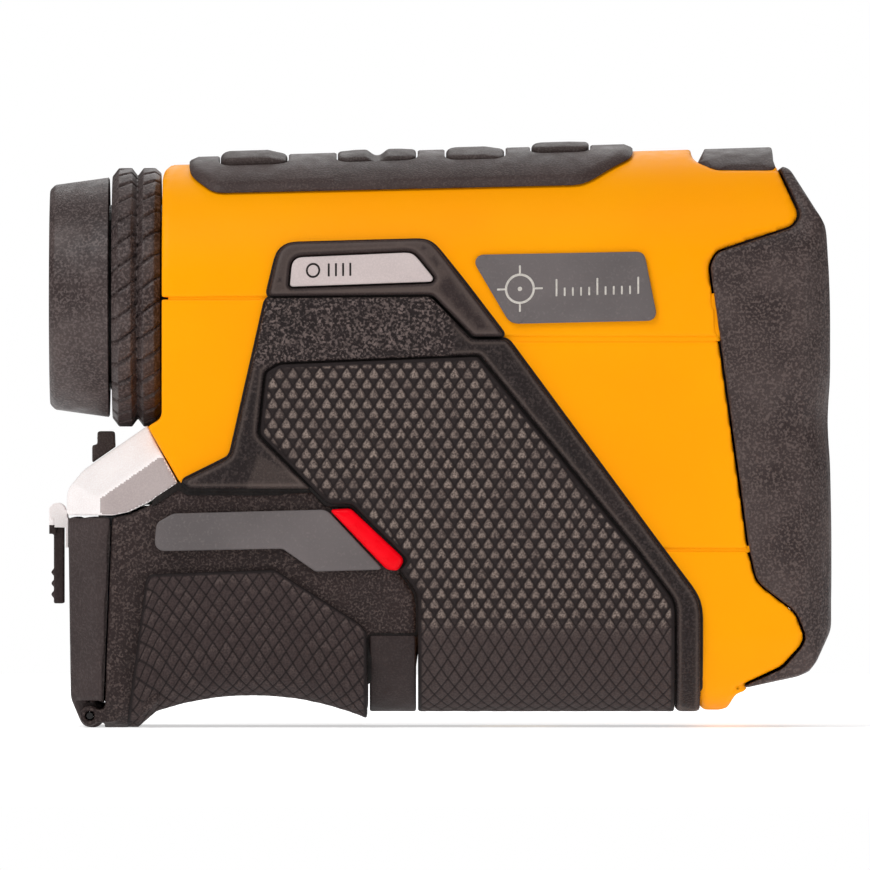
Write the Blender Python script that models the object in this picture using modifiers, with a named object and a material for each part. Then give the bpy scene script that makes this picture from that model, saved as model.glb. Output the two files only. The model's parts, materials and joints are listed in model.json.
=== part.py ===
"""A handheld laser rangefinder with a built-in bearing compass, as an assembly of its real pieces.

The optical axis runs along X: the eyepiece looks out at -X and the front lenses at +X. Z is up, and
the origin is on the ground under the middle of the instrument. Lengths below are millimetres, and MM
turns them into Blender's metres where a shape is made.
"""

import math

import bmesh
import bpy
from mathutils import Matrix, Vector

MM = 0.001
ARC_STEP = math.radians(28)
WIDE_ARC = 9.0
WIDE_ARC_STEP = math.radians(13)
TURNED_STEPS = 32
GAP = 0.3

# Driving dimensions.
HALF_WIDTH = 23.0
WALL = 2.2
CROWN_TOP = 87.55
CROWN_RADIUS = 20.0
CROWN_TILT = math.radians(1.7)
KEEL_BOTTOM = 3.7
KEEL_RADIUS = 10.7
TOE_BOTTOM = 2.6
AXIS_Z = 66.0
LASER_Z = 28.0
PANEL_LIFT = 1.3
BATTERY_RADIUS = 7.8
BATTERY_LENGTH = 27.0
BATTERY_X = -44.6
BATTERY_Y = 8.3
BAY_FLOOR = 6.5
HINGE = (-53.55, 0.0, 1.8)
LATCH = (-58.75, 0.0, 33.1)
TRIPOD = (12.0, 0.0, 2.5)
TRIPOD_BORE = 3.2
SEAM_LOW = 27.3

# Side outlines: corners (x, z, corner radius).
HULL_SIDE = [
    (-42.5, 86.35, 2.2), (-42.5, 47.4, 0), (-44.7, 46.1, 0), (-39.8, 37.6, 0.4), (-38.2, 36.5, 0.4),
    (-19.3, 36.5, 0.4), (-17.2, 34.25, 0), (-13.4, 34.25, 1.2), (-4.6, 25.7, 0.8), (-5.9, 24.2, 0.3),
    (-3.2, 20.4, 3), (-3.2, 2.6, 0),
    (44.0, 2.6, 1.5), (45.4, 5.2, 0.5), (57.0, 8.2, 4), (60.05, 15.0, 4),
    (60.05, 50.0, 30), (59.2, 77.0, 5), (53.2, 86.0, 1.5), (51.6, 86.1, 0), (50.3, 89.12, 0),
]
TOP_ZONE = [(-60, 65.75, 0), (-1.9, 66.0, 0), (5.0, 59.6, 0), (70, 59.6, 0), (70, 100, 0), (-60, 100, 0)]
MIDDLE_ZONE = [(-60, 65.45, 0), (-2.1, 65.7, 0), (4.8, 59.3, 0), (70, 59.3, 0),
               (70, SEAM_LOW, 0), (-60, SEAM_LOW, 0)]
BASE_ZONE = [(-60, SEAM_LOW - GAP, 0), (70, SEAM_LOW - GAP, 0), (70, -10, 0), (-60, -10, 0)]
BUMPER_SIDE = [
    (52.0, 85.9, 0), (55.4, 78.3, 1.5), (54.0, 76.5, 1.5), (42.4, 72.7, 1.2), (41.4, 70.6, 0.6),
    (47.3, 28.0, 8), (48.6, 22.4, 3), (54.6, 17.8, 3.5), (56.3, 13.4, 2.5), (52.5, 9.2, 3),
    (44.9, 5.6, 0), (57.0, 8.2, 4), (60.05, 15.0, 4), (60.05, 50.0, 30), (59.2, 77.0, 5), (53.4, 86.1, 1.5),
]
ANTENNA_SIDE = [(38.9, 90, 0), (39.0, 87.2, 1.2), (42.5, 85.7, 3), (51.3, 85.7, 0.3), (50.1, 90, 0)]
KEYPAD_SIDE = [(-38.4, 92, 0), (-38.4, 85.2, 2.5), (-34.5, 82.4, 3.5), (21.8, 83.6, 5), (29.8, 88.2, 1.6),
               (29.4, 92, 0)]
UPPER_PANEL = [(-26.3, 66.05, 0), (-24.4, 74.3, 2.8), (-1.5, 74.9, 2.8), (9.95, 59.9, 0),
               (5.2, 59.9, 0.8), (-1.1, 66.3, 1.2)]
NAMEPLATE = [(-22.9, 67.5, 0.4), (-22.5, 72.0, 1.5), (-4.1, 72.8, 1.8), (-0.5, 68.3, 0.5)]
BADGE = [(4.6, 72.4, 1.2), (31.3, 72.9, 1.2), (33.4, 62.3, 1.2), (10.8, 61.8, 2)]
GRIP_FRAME = [
    (-39.4, 37.7, 0), (-31.9, 41.4, 1.8), (-26.4, 65.75, 0), (-1.4, 65.95, 1.2), (4.9, 59.4, 0.8),
    (10.3, 59.4, 0), (33.9, 27.4, 8), (39.9, 19.4, 6), (39.9, -3, 0), (36.3, -3, 0), (36.3, 19.2, 4),
    (30.4, 27.2, 0), (6.1, 57.1, 1.0), (-24.7, 55.9, 2.0), (-26.8, 54.6, 1.0), (-27.9, 44.8, 1.5),
    (-19.8, 36.6, 0), (-38.2, 36.6, 0.4),
]
GRIP_PAD = [(-24.4, 55.6, 1.8), (5.9, 56.8, 0.8), (30.1, 27.0, 0), (36.0, 19.2, 4), (36.0, -3, 0),
            (-3.3, -3, 0), (-3.3, 20.6, 3), (-6.0, 24.1, 0.3), (-4.7, 25.6, 0.8), (-13.4, 34.3, 1.2),
            (-17.1, 34.3, 0), (-27.5, 44.9, 1.5), (-26.5, 54.4, 1.0)]
SCALLOP_CENTRE = (-28.7, -39.3)
SCALLOP_RADIUS = 45.3
SADDLE_RADIUS = 7.0
BAND = [(-10.7, 14.1, 0), (-3.6, 14.1, 0), (-3.6, 0, 0), (-10.7, 0, 0)]
REAR_PAD = [(-44.8, 23.5, 1.2), (-25.0, 24.2, 1.5), (-11.5, 15.5, 1.5), (-11.1, 0, 0), (-47.9, 0, 0)]
TRIM = [(-43.7, 27.0, 1.4), (-43.3, 31.4, 1.4), (-40.7, 32.8, 1.4), (-17.3, 33.4, 0),
        (-8.6, 24.2, 0), (-19.0, 23.9, 0.8), (-24.0, 27.4, 0.8)]
STRIPE = [(-16.9, 33.4, 0.3), (-13.6, 33.6, 1.2), (-5.2, 25.7, 1.0), (-6.4, 24.0, 0.9), (-8.1, 24.2, 0.3)]
BEZEL = [(-44.8, 46.2, 0), (-40.0, 37.4, 0), (-44.6, 34.4, 1), (-47.6, 33.0, 1), (-50.0, 32.5, 0),
         (-57.1, 32.5, 0), (-57.1, 36.3, 2.5), (-54.6, 39.4, 2.5)]
DOOR = [(-50.45, 32.2, 0), (-51.75, 0, 1.0), (-54.6, 0, 1.6), (-56.5, 4.5, 3), (-56.9, 32.2, 0.4)]
DOOR_PLAN = [(-45, -22.2, 0), (-52.2, -22.2, 1), (-57.2, -17.2, 1.5), (-57.2, 17.2, 1.5),
             (-52.2, 22.2, 1), (-45, 22.2, 0)]
BEZEL_PLAN = [(-35, -22.6, 0), (-52.0, -22.6, 1), (-57.2, -17.4, 1.5), (-57.2, 17.4, 1.5),
              (-52.0, 22.6, 1), (-35, 22.6, 0)]
NOSE_SECTION = [(-20.6, 84.6, 16), (-20.6, 6.2, 8), (20.6, 6.2, 8), (20.6, 84.6, 16)]
BUMPER_WALL = 1.8
PLATE_X = (50.4, 53.4)
BUMPER_PLAN = [(30, -26, 0), (60.05, -23.6, 7), (60.05, 23.6, 7), (30, 26, 0)]

# The four keys: name, middle in x, length in x, half width in y, height of the cap over the crown.
KEYS = [
    ("menu_button", -28.5, 10.0, 10.4, 1.9),
    ("rocker_button", -9.6, 11.8, 10.4, 1.5),
    ("back_button", 5.5, 8.7, 10.8, 1.45),
    ("fire_button", 18.6, 8.6, 9.0, 1.8),
]

# The two lens barrels: name, height of the axis, outer radius, inner radius, back end in x.
BARRELS = [
    ("objective", AXIS_Z, 14.8, 13.1, 34.0),
    ("laser", LASER_Z, 13.2, 11.3, 31.0),
]

COLOURS = {
    "yellow": ((0.99, 0.40, 0.005), 0.38, 0.0),
    "black": ((0.035, 0.028, 0.027), 0.55, 0.0),
    "rubber": ((0.045, 0.036, 0.034), 0.8, 0.0),
    "silver": ((0.62, 0.59, 0.57), 0.4, 0.6),
    "grey": ((0.13, 0.12, 0.12), 0.45, 0.0),
    "red": ((0.80, 0.01, 0.02), 0.35, 0.0),
    "glass": ((0.25, 0.35, 0.40), 0.05, 0.0),
    "metal": ((0.30, 0.30, 0.31), 0.35, 0.9),
    "brass": ((0.70, 0.50, 0.20), 0.35, 1.0),
    "board": ((0.02, 0.15, 0.07), 0.5, 0.0),
    "cell": ((0.10, 0.12, 0.25), 0.4, 0.0),
}


def clear_scene():
    """Removes whatever the file opened with."""
    for obj in list(bpy.data.objects):
        bpy.data.objects.remove(obj)


def new_collection(name):
    made = bpy.data.collections.new(name)
    bpy.context.scene.collection.children.link(made)
    return made


def make_material(name):
    colour, roughness, metallic = COLOURS[name]
    made = bpy.data.materials.new(name)
    made.use_nodes = True
    shader = made.node_tree.nodes["Principled BSDF"]
    shader.inputs["Base Color"].default_value = (*colour, 1)
    shader.inputs["Roughness"].default_value = roughness
    shader.inputs["Metallic"].default_value = metallic
    made.diffuse_color = (*colour, 1)
    return made


clear_scene()
PARTS = new_collection("rangefinder")
CUTTERS = new_collection("cutters")
MATERIALS = {name: make_material(name) for name in COLOURS}


# ---------------------------------------------------------------- outlines

def rounded(corners):
    """Points of a closed outline whose corners (u, v, radius) become arcs, in finer steps if wide."""
    points = []
    for i, (u, v, radius) in enumerate(corners):
        here = Vector((u, v))
        before = (Vector(corners[i - 1][:2]) - here).normalized()
        after = (Vector(corners[(i + 1) % len(corners)][:2]) - here).normalized()
        half = before.angle(after) / 2
        if radius <= 0 or half > math.radians(89):
            points.append(here)
            continue
        centre = here + (before + after).normalized() * radius / math.sin(half)
        start = here + before * radius / math.tan(half) - centre
        end = here + after * radius / math.tan(half) - centre
        first = math.atan2(start.y, start.x)
        sweep = (math.atan2(end.y, end.x) - first + math.pi) % math.tau - math.pi
        step = WIDE_ARC_STEP if radius > WIDE_ARC else ARC_STEP
        steps = max(2, math.ceil(abs(sweep) / step))
        for k in range(steps + 1):
            angle = first + sweep * k / steps
            points.append(centre + Vector((math.cos(angle), math.sin(angle))) * radius)
    return points


def inset(corners, distance):
    """The same outline moved inwards by distance, or outwards where that is negative."""
    following = corners[1:] + corners[:1]
    area = sum(a[0] * b[1] - b[0] * a[1] for a, b in zip(corners, following))
    turn = math.copysign(1, area)
    moved = []
    for i, (u, v, radius) in enumerate(corners):
        here = Vector((u, v))
        arrive = (here - Vector(corners[i - 1][:2])).normalized()
        leave = (Vector(following[i][:2]) - here).normalized()
        normals = [Vector((-way.y, way.x)) * turn for way in (arrive, leave)]
        shift = (normals[0] + normals[1]) / (1 + normals[0].dot(normals[1])) * distance
        convex = arrive.cross(leave) * turn > 0
        changed = radius - distance if convex else radius + distance
        moved.append((*(here + shift), max(changed, 0) if radius else 0))
    return moved


def arc_corners(centre, radius, start, end, steps):
    """Sharp corners along an arc, from start to end in degrees, for use inside an outline."""
    angles = [math.radians(start + (end - start) * k / steps) for k in range(steps + 1)]
    return [(centre[0] + radius * math.cos(a), centre[1] + radius * math.sin(a), 0) for a in angles]


def rectangle(low_u, low_v, high_u, high_v, radius=0.0):
    places = ((low_u, low_v), (high_u, low_v), (high_u, high_v), (low_u, high_v))
    return [(u, v, radius) for u, v in places]


# ---------------------------------------------------------------- solids

def add(obj, material=None):
    """Puts an object among the parts, with its material, or among the cutters if it has none."""
    for used in obj.users_collection:
        used.objects.unlink(obj)
    if material:
        obj.data.materials.clear()
        obj.data.materials.append(MATERIALS[material])
        PARTS.objects.link(obj)
    else:
        CUTTERS.objects.link(obj)
        obj.hide_render = True
        obj.display_type = "WIRE"
    return obj


def shade(obj):
    obj.data.shade_smooth()
    obj.data.set_sharp_from_angle(angle=math.radians(35))
    return obj


TURN = {
    "XZ": (Matrix.Rotation(math.radians(90), 4, "X"), Vector((0, 1, 0))),
    "YZ": (Matrix.Rotation(math.radians(90), 4, "Z") @ Matrix.Rotation(math.radians(90), 4, "X"),
           Vector((1, 0, 0))),
    "XY": (Matrix.Identity(4), Vector((0, 0, 1))),
}


def prism(name, corners, plane, low, high, material=None, holes=()):
    """An outline in a plane, with holes, extruded from low to high along the third axis."""
    curve = bpy.data.curves.new(name, "CURVE")
    curve.dimensions = "2D"
    curve.fill_mode = "BOTH"
    curve.extrude = (high - low) / 2 * MM
    for loop in (corners, *holes):
        points = rounded(loop)
        spline = curve.splines.new("POLY")
        spline.points.add(len(points) - 1)
        spline.use_cyclic_u = True
        for point, (u, v) in zip(spline.points, points):
            point.co = (u * MM, v * MM, 0, 1)
    outline = bpy.data.objects.new(name + "_outline", curve)
    PARTS.objects.link(outline)
    turn, normal = TURN[plane]
    outline.matrix_world = Matrix.Translation(normal * (low + high) / 2 * MM) @ turn
    bpy.context.view_layer.update()
    solid = outline.evaluated_get(bpy.context.evaluated_depsgraph_get())
    mesh = bpy.data.meshes.new_from_object(solid)
    welding = bmesh.new()
    welding.from_mesh(mesh)
    bmesh.ops.remove_doubles(welding, verts=welding.verts, dist=0.002 * MM)
    bmesh.ops.recalc_face_normals(welding, faces=welding.faces)
    welding.to_mesh(mesh)
    welding.free()
    obj = bpy.data.objects.new(name, mesh)
    obj.matrix_world = outline.matrix_world
    bpy.data.objects.remove(outline)
    bpy.context.scene.collection.objects.link(obj)
    return add(obj, material)


def box(name, low, high, material=None, edge=0.0):
    """A box between two corners, with its edges chamfered by edge."""
    middle = (Vector(low) + Vector(high)) / 2 * MM
    bpy.ops.mesh.primitive_cube_add(size=1, location=middle)
    obj = bpy.context.object
    obj.name = obj.data.name = name
    obj.data.transform(Matrix.Diagonal((*((Vector(high) - Vector(low)) * MM), 1)))
    if edge:
        bevel = obj.modifiers.new("edges", "BEVEL")
        bevel.width = edge * MM
        bevel.segments = 1
    return add(obj, material)


def turned(name, profile, centre, material=None, along="X", steps=TURNED_STEPS):
    """A closed profile of (radius, place along the axis) points, turned about an axis through centre."""
    following = profile[1:] + profile[:1]
    if sum(a[0] * b[1] - b[0] * a[1] for a, b in zip(profile, following)) > 0:
        profile = profile[::-1]
    on_axis = any(radius == 0 for radius, _ in profile)
    while on_axis and not (profile[0][0] == 0 and profile[-1][0] == 0):
        profile = profile[1:] + profile[:1]
    mesh = bpy.data.meshes.new(name)
    count = len(profile)
    edges = [(i, i + 1) for i in range(count - 1)] + ([] if on_axis else [(count - 1, 0)])
    mesh.from_pydata([(radius * MM, 0, place * MM) for radius, place in profile], edges, [])
    obj = bpy.data.objects.new(name, mesh)
    bpy.context.scene.collection.objects.link(obj)
    screw = obj.modifiers.new("turn", "SCREW")
    screw.steps = screw.render_steps = steps
    screw.use_merge_vertices = True
    screw.merge_threshold = 0.005 * MM
    screw.use_smooth_shade = False
    obj.location = Vector(centre) * MM
    if along == "X":
        obj.rotation_euler = (0, math.radians(90), 0)
    elif along == "Y":
        obj.rotation_euler = (math.radians(-90), 0, 0)
    return add(obj, material)


def rod(name, radius, low, high, centre, along, material=None, steps=24):
    """A plain round bar from low to high along an axis."""
    return turned(name, [(0, high), (radius, high), (radius, low), (0, low)], centre, material, along, steps)


def ring(name, outer, inner, low, high, centre, material=None, along="X", steps=TURNED_STEPS):
    """A plain tube from low to high along an axis."""
    profile = [(outer, high), (outer, low), (inner, low), (inner, high)]
    return turned(name, profile, centre, material, along, steps)


def combine(obj, other, operation):
    """Adds a Boolean modifier: DIFFERENCE, INTERSECT or UNION."""
    modifier = obj.modifiers.new(other.name, "BOOLEAN")
    modifier.operation = operation
    modifier.object = other
    return obj


def cut(obj, *others):
    for other in others:
        combine(obj, other, "DIFFERENCE")
    return obj


def keep(obj, *others):
    for other in others:
        combine(obj, other, "INTERSECT")
    return obj


def join(obj, *others):
    for other in others:
        combine(obj, other, "UNION")
    return obj


def tilted(obj):
    """Turns a piece with the slope of the crown, about the crown's top over the origin."""
    pivot = Matrix.Translation((0, 0, CROWN_TOP * MM))
    obj.matrix_world = pivot @ Matrix.Rotation(-CROWN_TILT, 4, "Y") @ pivot.inverted() @ obj.matrix_world
    return obj


def put_origin(obj, point):
    """Moves a prism's origin to a point on its joint's axis, and leaves its shape where it is."""
    target = Matrix.Translation(Vector(point) * MM)
    bpy.context.view_layer.update()
    obj.data.transform(target.inverted() @ obj.matrix_world)
    obj.matrix_world = target
    return obj


# ---------------------------------------------------------------- surfaces that the skins share

def crown(lift):
    """The arched top of the housing, moved out by lift."""
    name = f"crown_{lift:+.2f}"
    if name not in bpy.data.objects:
        width, radius = HALF_WIDTH + lift, CROWN_RADIUS + lift
        top = CROWN_TOP + lift
        corners = [(-width, top, radius), (-width, -20, 0), (width, -20, 0), (width, top, radius)]
        tilted(prism(name, corners, "YZ", -90, 90))
    return bpy.data.objects[name]


def keel(lift, bottom=KEEL_BOTTOM, radius=KEEL_RADIUS):
    """The rounded underside of the housing, moved out by lift."""
    name = f"keel_{bottom:.1f}_{lift:+.2f}"
    if name not in bpy.data.objects:
        width = HALF_WIDTH + lift
        low = bottom - lift
        rounding = radius + lift
        corners = [(-width, 120, 0), (-width, low, rounding), (width, low, rounding), (width, 120, 0)]
        prism(name, corners, "YZ", -90, 90)
    return bpy.data.objects[name]


def housing_side(lift):
    """Side outline of the battery housing, with the finger scallop under it."""
    corners = [
        (-50.1, 32.2, 0), (-47.5, 32.65, 0.5), (-44.4, 34.05, 0.5), (-39.8, 37.1, 0.4), (-38.3, 36.15, 0.4),
        (-19.4, 36.15, 0.3), (-17.4, 33.9, 0), (-13.6, 33.9, 1.2), (-5.1, 25.65, 0.8), (-6.3, 24.1, 0.3),
        (-3.6, 20.2, 3), (-3.6, 14.4, 0), (-11.0, 14.4, 0),
        *arc_corners(SCALLOP_CENTRE, SCALLOP_RADIUS, 67.0, 109.0, 8),
        (-46.0, 1.3, 1.0), (-47.2, 0, 1.2), (-51.35, 0, 0),
    ]
    return inset(corners, -lift)


def leg(lift):
    """The battery housing's underside, a little lower than the keel."""
    return keel(lift, bottom=0.0, radius=7.0)


def saddle(lift):
    """The rounded lower edges of the finger scallop: a section turned about the scallop's axis."""
    name = f"saddle_{lift:+.2f}"
    if name not in bpy.data.objects:
        half = HALF_WIDTH + lift
        low = SCALLOP_RADIUS - lift - 0.1
        radius = SADDLE_RADIUS + lift
        section = rounded([(low, -half, radius), (low, half, radius), (90, half, 0), (90, -half, 0)])
        centre = (SCALLOP_CENTRE[0], 0, SCALLOP_CENTRE[1])
        ring = turned(name, [tuple(point) for point in section], centre, along="Y", steps=96)
        join(ring, box(f"{name}_toe", (-60, -half - 1, -5), (-42.9, half + 1, 60)))
    return bpy.data.objects[name]


def overlay(name, outline, side, surface, inner, outer, material, holes=()):
    """A thin skin that follows a surface, on the right side (-1) or the left (+1)."""
    low, high = sorted((side * 0.15, side * 30))
    obj = prism(name, outline, "XZ", low, high, material, holes)
    return shade(cut(keep(obj, surface(outer)), surface(inner)))


def both_sides(name, *details, **more):
    """The right and left copies of an overlay."""
    for word, side in (("right", -1), ("left", 1)):
        overlay(f"{name}_{word}", details[0], side, *details[1:], **more)


# ---------------------------------------------------------------- housing

def yellow_shells():
    """Three mouldings that stack on level seams: top, middle and base."""
    cavity = keep(prism("cavity", inset(HULL_SIDE, WALL), "XZ", -25, 25), crown(-WALL), keel(-WALL))
    bumper_zone = prism("bumper_zone", inset(BUMPER_SIDE, -GAP), "XZ", -30, 30)
    eyepiece_hole = rod("eyepiece_hole", 16.4, -60, -30, (0, 0, AXIS_Z), "X", steps=TURNED_STEPS)
    antenna_zone = prism("antenna_zone", inset(ANTENNA_SIDE, -GAP), "XZ", -30, 30)
    sides = prism("hull_side", HULL_SIDE, "XZ", -28, 28)
    shells = {
        "top_shell": (TOP_ZONE, crown(0), [antenna_zone, eyepiece_hole, *key_openings()]),
        "middle_shell": (MIDDLE_ZONE, keel(0), [eyepiece_hole, ring_clearance()]),
        "base_shell": (BASE_ZONE, keel(0, TOE_BOTTOM, 11.8), [grip_recess(), tripod_hole(), *screw_holes()]),
    }
    for name, (zone, surface, cutters) in shells.items():
        obj = prism(name, zone, "XZ", -30, 30, "yellow")
        shade(cut(keep(obj, sides, surface), cavity, bumper_zone, nose_room(), *cutters))


def ring_clearance():
    return rod("ring_clearance", 20.3, -60, -42.4, (0, 0, AXIS_Z), "X", steps=TURNED_STEPS)


def nose_room():
    """The room for the front plate and the lens barrels, between the bumper's walls."""
    if "nose_room" not in bpy.data.objects:
        prism("nose_room", NOSE_SECTION, "YZ", 50.0, 57.0)
    return bpy.data.objects["nose_room"]


def battery_bay():
    """The space for two cells, open to the rear, shared by the pieces around it."""
    if "battery_bay" not in bpy.data.objects:
        box("battery_bay", (-53.4, -16.9, BAY_FLOOR), (-36.2, 16.9, BAY_FLOOR + 28.6))
    return bpy.data.objects["battery_bay"]


def grip_recess():
    """Takes the base moulding back to the keel under the grip pad, so that the pad ends flush."""
    return cut(prism("grip_recess", rectangle(-10, -5, 40.2, SEAM_LOW + 5), "XZ", -40, 40), keel(0))


def tripod_hole():
    return rod("tripod_hole", 7.3, -1, 12, (TRIPOD[0], 0, 0), "Z")


def screw_holes():
    return [rod(f"screw_hole_{side}", 2.0, 0, 9, (42.2, side * 11.0, 0), "Z", steps=16) for side in (-1, 1)]


def battery_housing():
    """The black rear handle around the cells, with ears for the door's hinge pin."""
    sides = prism("battery_housing", housing_side(0), "XZ", -30, 30, "black")
    front_part = box("housing_front", (-34.4, -30, -5), (0, 30, 50))
    hollow = keep(prism("housing_hollow", inset(housing_side(0), 2.0), "XZ", -21, 21), leg(-2.0), saddle(-2.0),
                  front_part)
    plan = [(-60, -22.2, 0), (-60, 22.2, 0), (-45, 22.2, 0), (10, 22.99, 0), (10, -22.99, 0), (-45, -22.2, 0)]
    keep(sides, leg(0), saddle(0), prism("housing_plan", plan, "XY", -5, 60))
    for side in (-1, 1):
        x, _, z = HINGE
        ear = rod(f"ear_{side}", 1.6, side * 19.4 - 1.3, side * 19.4 + 1.3, (x, 0, z), "Y", steps=16)
        low, high = sorted((side * 18.1, side * 20.7))
        block = box(f"ear_block_{side}", (x, low, z - 1.0), (-49.5, high, z + 1.0))
        join(sides, join(ear, block))
    wire_slot = box("wire_slot", (-38.0, -3.0, 22.0), (-33.0, 3.0, 30.0))
    pin_bore = rod("pin_bore", 0.8, -30, 30, (HINGE[0], 0, HINGE[2]), "Y", steps=16)
    shade(cut(sides, hollow, battery_bay(), wire_slot, pin_bore))


def rear_bezel():
    """The silver nose above the cells: a sloped block with broad chamfers, hollow below."""
    obj = prism("rear_bezel", BEZEL, "XZ", -30, 30, "silver")
    plan = prism("bezel_plan", BEZEL_PLAN, "XY", 20, 60)
    half, chamfer = 22.6, 5.0
    arch = [(-half, -40, 0), (-half, -chamfer, 1), (-half + chamfer, 0.01, 1), (half - chamfer, 0.01, 1),
            (half, -chamfer, 1), (half, -40, 0)]
    slope = prism("bezel_slope", arch, "YZ", -60, 60)
    low, high = Vector((-54.6, 39.4)), Vector((-44.8, 46.2))
    rise = math.atan2(high.y - low.y, high.x - low.x)
    place = Matrix.Translation(Vector((low.x, 0, low.y)) * MM)
    slope.matrix_world = place @ Matrix.Rotation(-rise, 4, "Y") @ slope.matrix_world
    shade(cut(keep(obj, plan, slope), battery_bay(), bpy.data.objects["ring_clearance"]))


def grip_band():
    """The smooth strap that wraps under between the two textured grips."""
    obj = prism("grip_band", BAND, "XZ", -30, 30, "black")
    shade(cut(keep(obj, keel(0, 2.4, 11.8)), keel(-WALL, 2.4, 11.8)))


def front_end():
    """Rubber bumper round the nose, and the black plate set back behind its mouth."""
    bumper = prism("front_bumper", BUMPER_SIDE, "XZ", -30, 30, "rubber")
    plan = prism("bumper_plan", BUMPER_PLAN, "XY", -5, 95)
    core = prism("bumper_core", inset(HULL_SIDE, BUMPER_WALL), "XZ", -25, 25)
    inside = keep(prism("bumper_inside", NOSE_SECTION, "YZ", 20, 57.0), core)
    opening = [(-16.8, 79.4, 13), (-16.8, 10.5, 10), (16.8, 10.5, 10), (16.8, 79.4, 13)]
    mouth = prism("bumper_mouth", opening, "YZ", 50, 70)
    shade(cut(keep(bumper, plan, crown(0.5), keel(0.5, TOE_BOTTOM, 11.8)), inside, mouth))
    plate = prism("front_plate", inset(NOSE_SECTION, GAP), "YZ", *PLATE_X, "black")
    keep(plate, prism("plate_limit", inset(HULL_SIDE, BUMPER_WALL + GAP), "XZ", -25, 25))
    ports = [rod(f"{name}_port", outer + 0.4, 40, 70, (0, 0, z), "X", steps=TURNED_STEPS)
             for name, z, outer, *_ in BARRELS]
    shade(cut(plate, *ports))


def side_skins():
    """Panels, badges and grips that lie on the housing's sides."""
    lift = PANEL_LIFT
    both_sides("upper_panel", UPPER_PANEL, crown, GAP, lift, "black", holes=[inset(NAMEPLATE, -GAP)])
    both_sides("nameplate", NAMEPLATE, crown, GAP, lift, "silver")
    both_sides("badge", BADGE, crown, GAP, 0.8, "grey")
    both_sides("grip_frame", GRIP_FRAME, keel, GAP, lift, "black")
    both_sides("trim_plate", TRIM, leg, GAP, 0.9, "grey")
    both_sides("accent_stripe", STRIPE, leg, GAP, 1.1, "red")


def grip_pads():
    """Textured rubber that wraps under the handle: one pad in front, one over the cells."""
    pad = prism("grip_pad", GRIP_PAD, "XZ", -30, 30, "rubber")
    inner = keel(GAP)
    shade(cut(keep(pad, keel(PANEL_LIFT)), inner, bpy.data.objects["tripod_hole"]))
    rear = prism("rear_grip_pad", REAR_PAD, "XZ", -30, 30, "rubber")
    outside = keep(prism("housing_outside", housing_side(1.1), "XZ", -30, 30), leg(1.1), saddle(1.1))
    inside = keep(prism("housing_inside", housing_side(GAP), "XZ", -30, 30), leg(GAP), saddle(GAP))
    shade(cut(keep(rear, outside), inside))


def tripod_insert():
    """Brass socket for a 1/4 inch tripod screw, its bore at the thread's full width."""
    x, _, z = TRIPOD
    profile = [(7.0, z), (7.0, z + 1.2), (5.0, z + 1.2), (5.0, z + 8.5), (0, z + 8.5), (0, z + 7.0),
               (TRIPOD_BORE, z + 7.0), (TRIPOD_BORE, z + 0.5), (TRIPOD_BORE + 0.5, z)]
    shade(turned("tripod_insert", profile, (x, 0, 0), "brass", "Z", 32))


def case_screws():
    """Two screws that hold the front of the base moulding."""
    for word, side in (("right", -1), ("left", 1)):
        profile = [(0, 3.6), (0.9, 3.6), (0.9, 3.0), (1.65, 3.0), (1.65, 4.4), (0.85, 4.4), (0.85, 8.6),
                   (0, 8.6)]
        shade(turned(f"case_screw_{word}", profile, (42.2, side * 11.0, 0), "metal", "Z", 16))


# ---------------------------------------------------------------- keypad

def key_outline(middle, length, half_width):
    return rectangle(middle - length / 2, -half_width, middle + length / 2, half_width, 1.6)


def key_openings():
    """One slot through the crown for each key, in the crown's slope."""
    made = []
    for name, middle, length, half_width, _ in KEYS:
        outline = inset(key_outline(middle, length, half_width), -GAP - 0.05)
        made.append(tilted(prism(f"{name}_slot", outline, "XY", 70, 95)))
    return made


def keypad():
    """The black strip on the crown, its keys and the switch board under them."""
    strip = prism("keypad_bezel", KEYPAD_SIDE, "XZ", -30, 30, "black")
    slots = [bpy.data.objects[f"{name}_slot"] for name, *_ in KEYS]
    shade(cut(keep(strip, crown(1.15)), crown(GAP), *slots))
    for name, middle, length, half_width, lift in KEYS:
        cap = tilted(prism(name, key_outline(middle, length, half_width), "XY", 84.0, 95, "black"))
        put_origin(cap, (middle, 0, 86))
        shade(keep(cap, crown(lift)))
    rocker = bpy.data.objects["rocker_button"]
    notch = [(-11.6, 94, 0), (-9.6, 88.0, 0.5), (-7.6, 94, 0)]
    cut(rocker, prism("rocker_notch", notch, "XZ", -30, 30))
    board = box("keypad_board", (-34.0, -10.5, 80.6), (26.5, 10.5, 81.8), "board")
    for name, middle, *_ in KEYS:
        join(board, rod(f"{name}_dome", 2.6, 81.0, 82.9, (middle, 0, 0), "Z", steps=12))
    for obj in (board, *[bpy.data.objects[f"{name}_dome"] for name, *_ in KEYS]):
        bpy.context.view_layer.update()
        tilted(obj)


def antenna():
    """A radio-clear cover at the front of the crown, and the aerial board below it."""
    cover = prism("antenna_cover", ANTENNA_SIDE, "XZ", -30, 30, "black")
    shade(cut(keep(cover, crown(0.0)), crown(-2.0)))
    box("antenna_board", (40.5, -9.0, 83.0), (49.5, 9.0, 84.2), "board")


# ---------------------------------------------------------------- eyepiece

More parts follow.
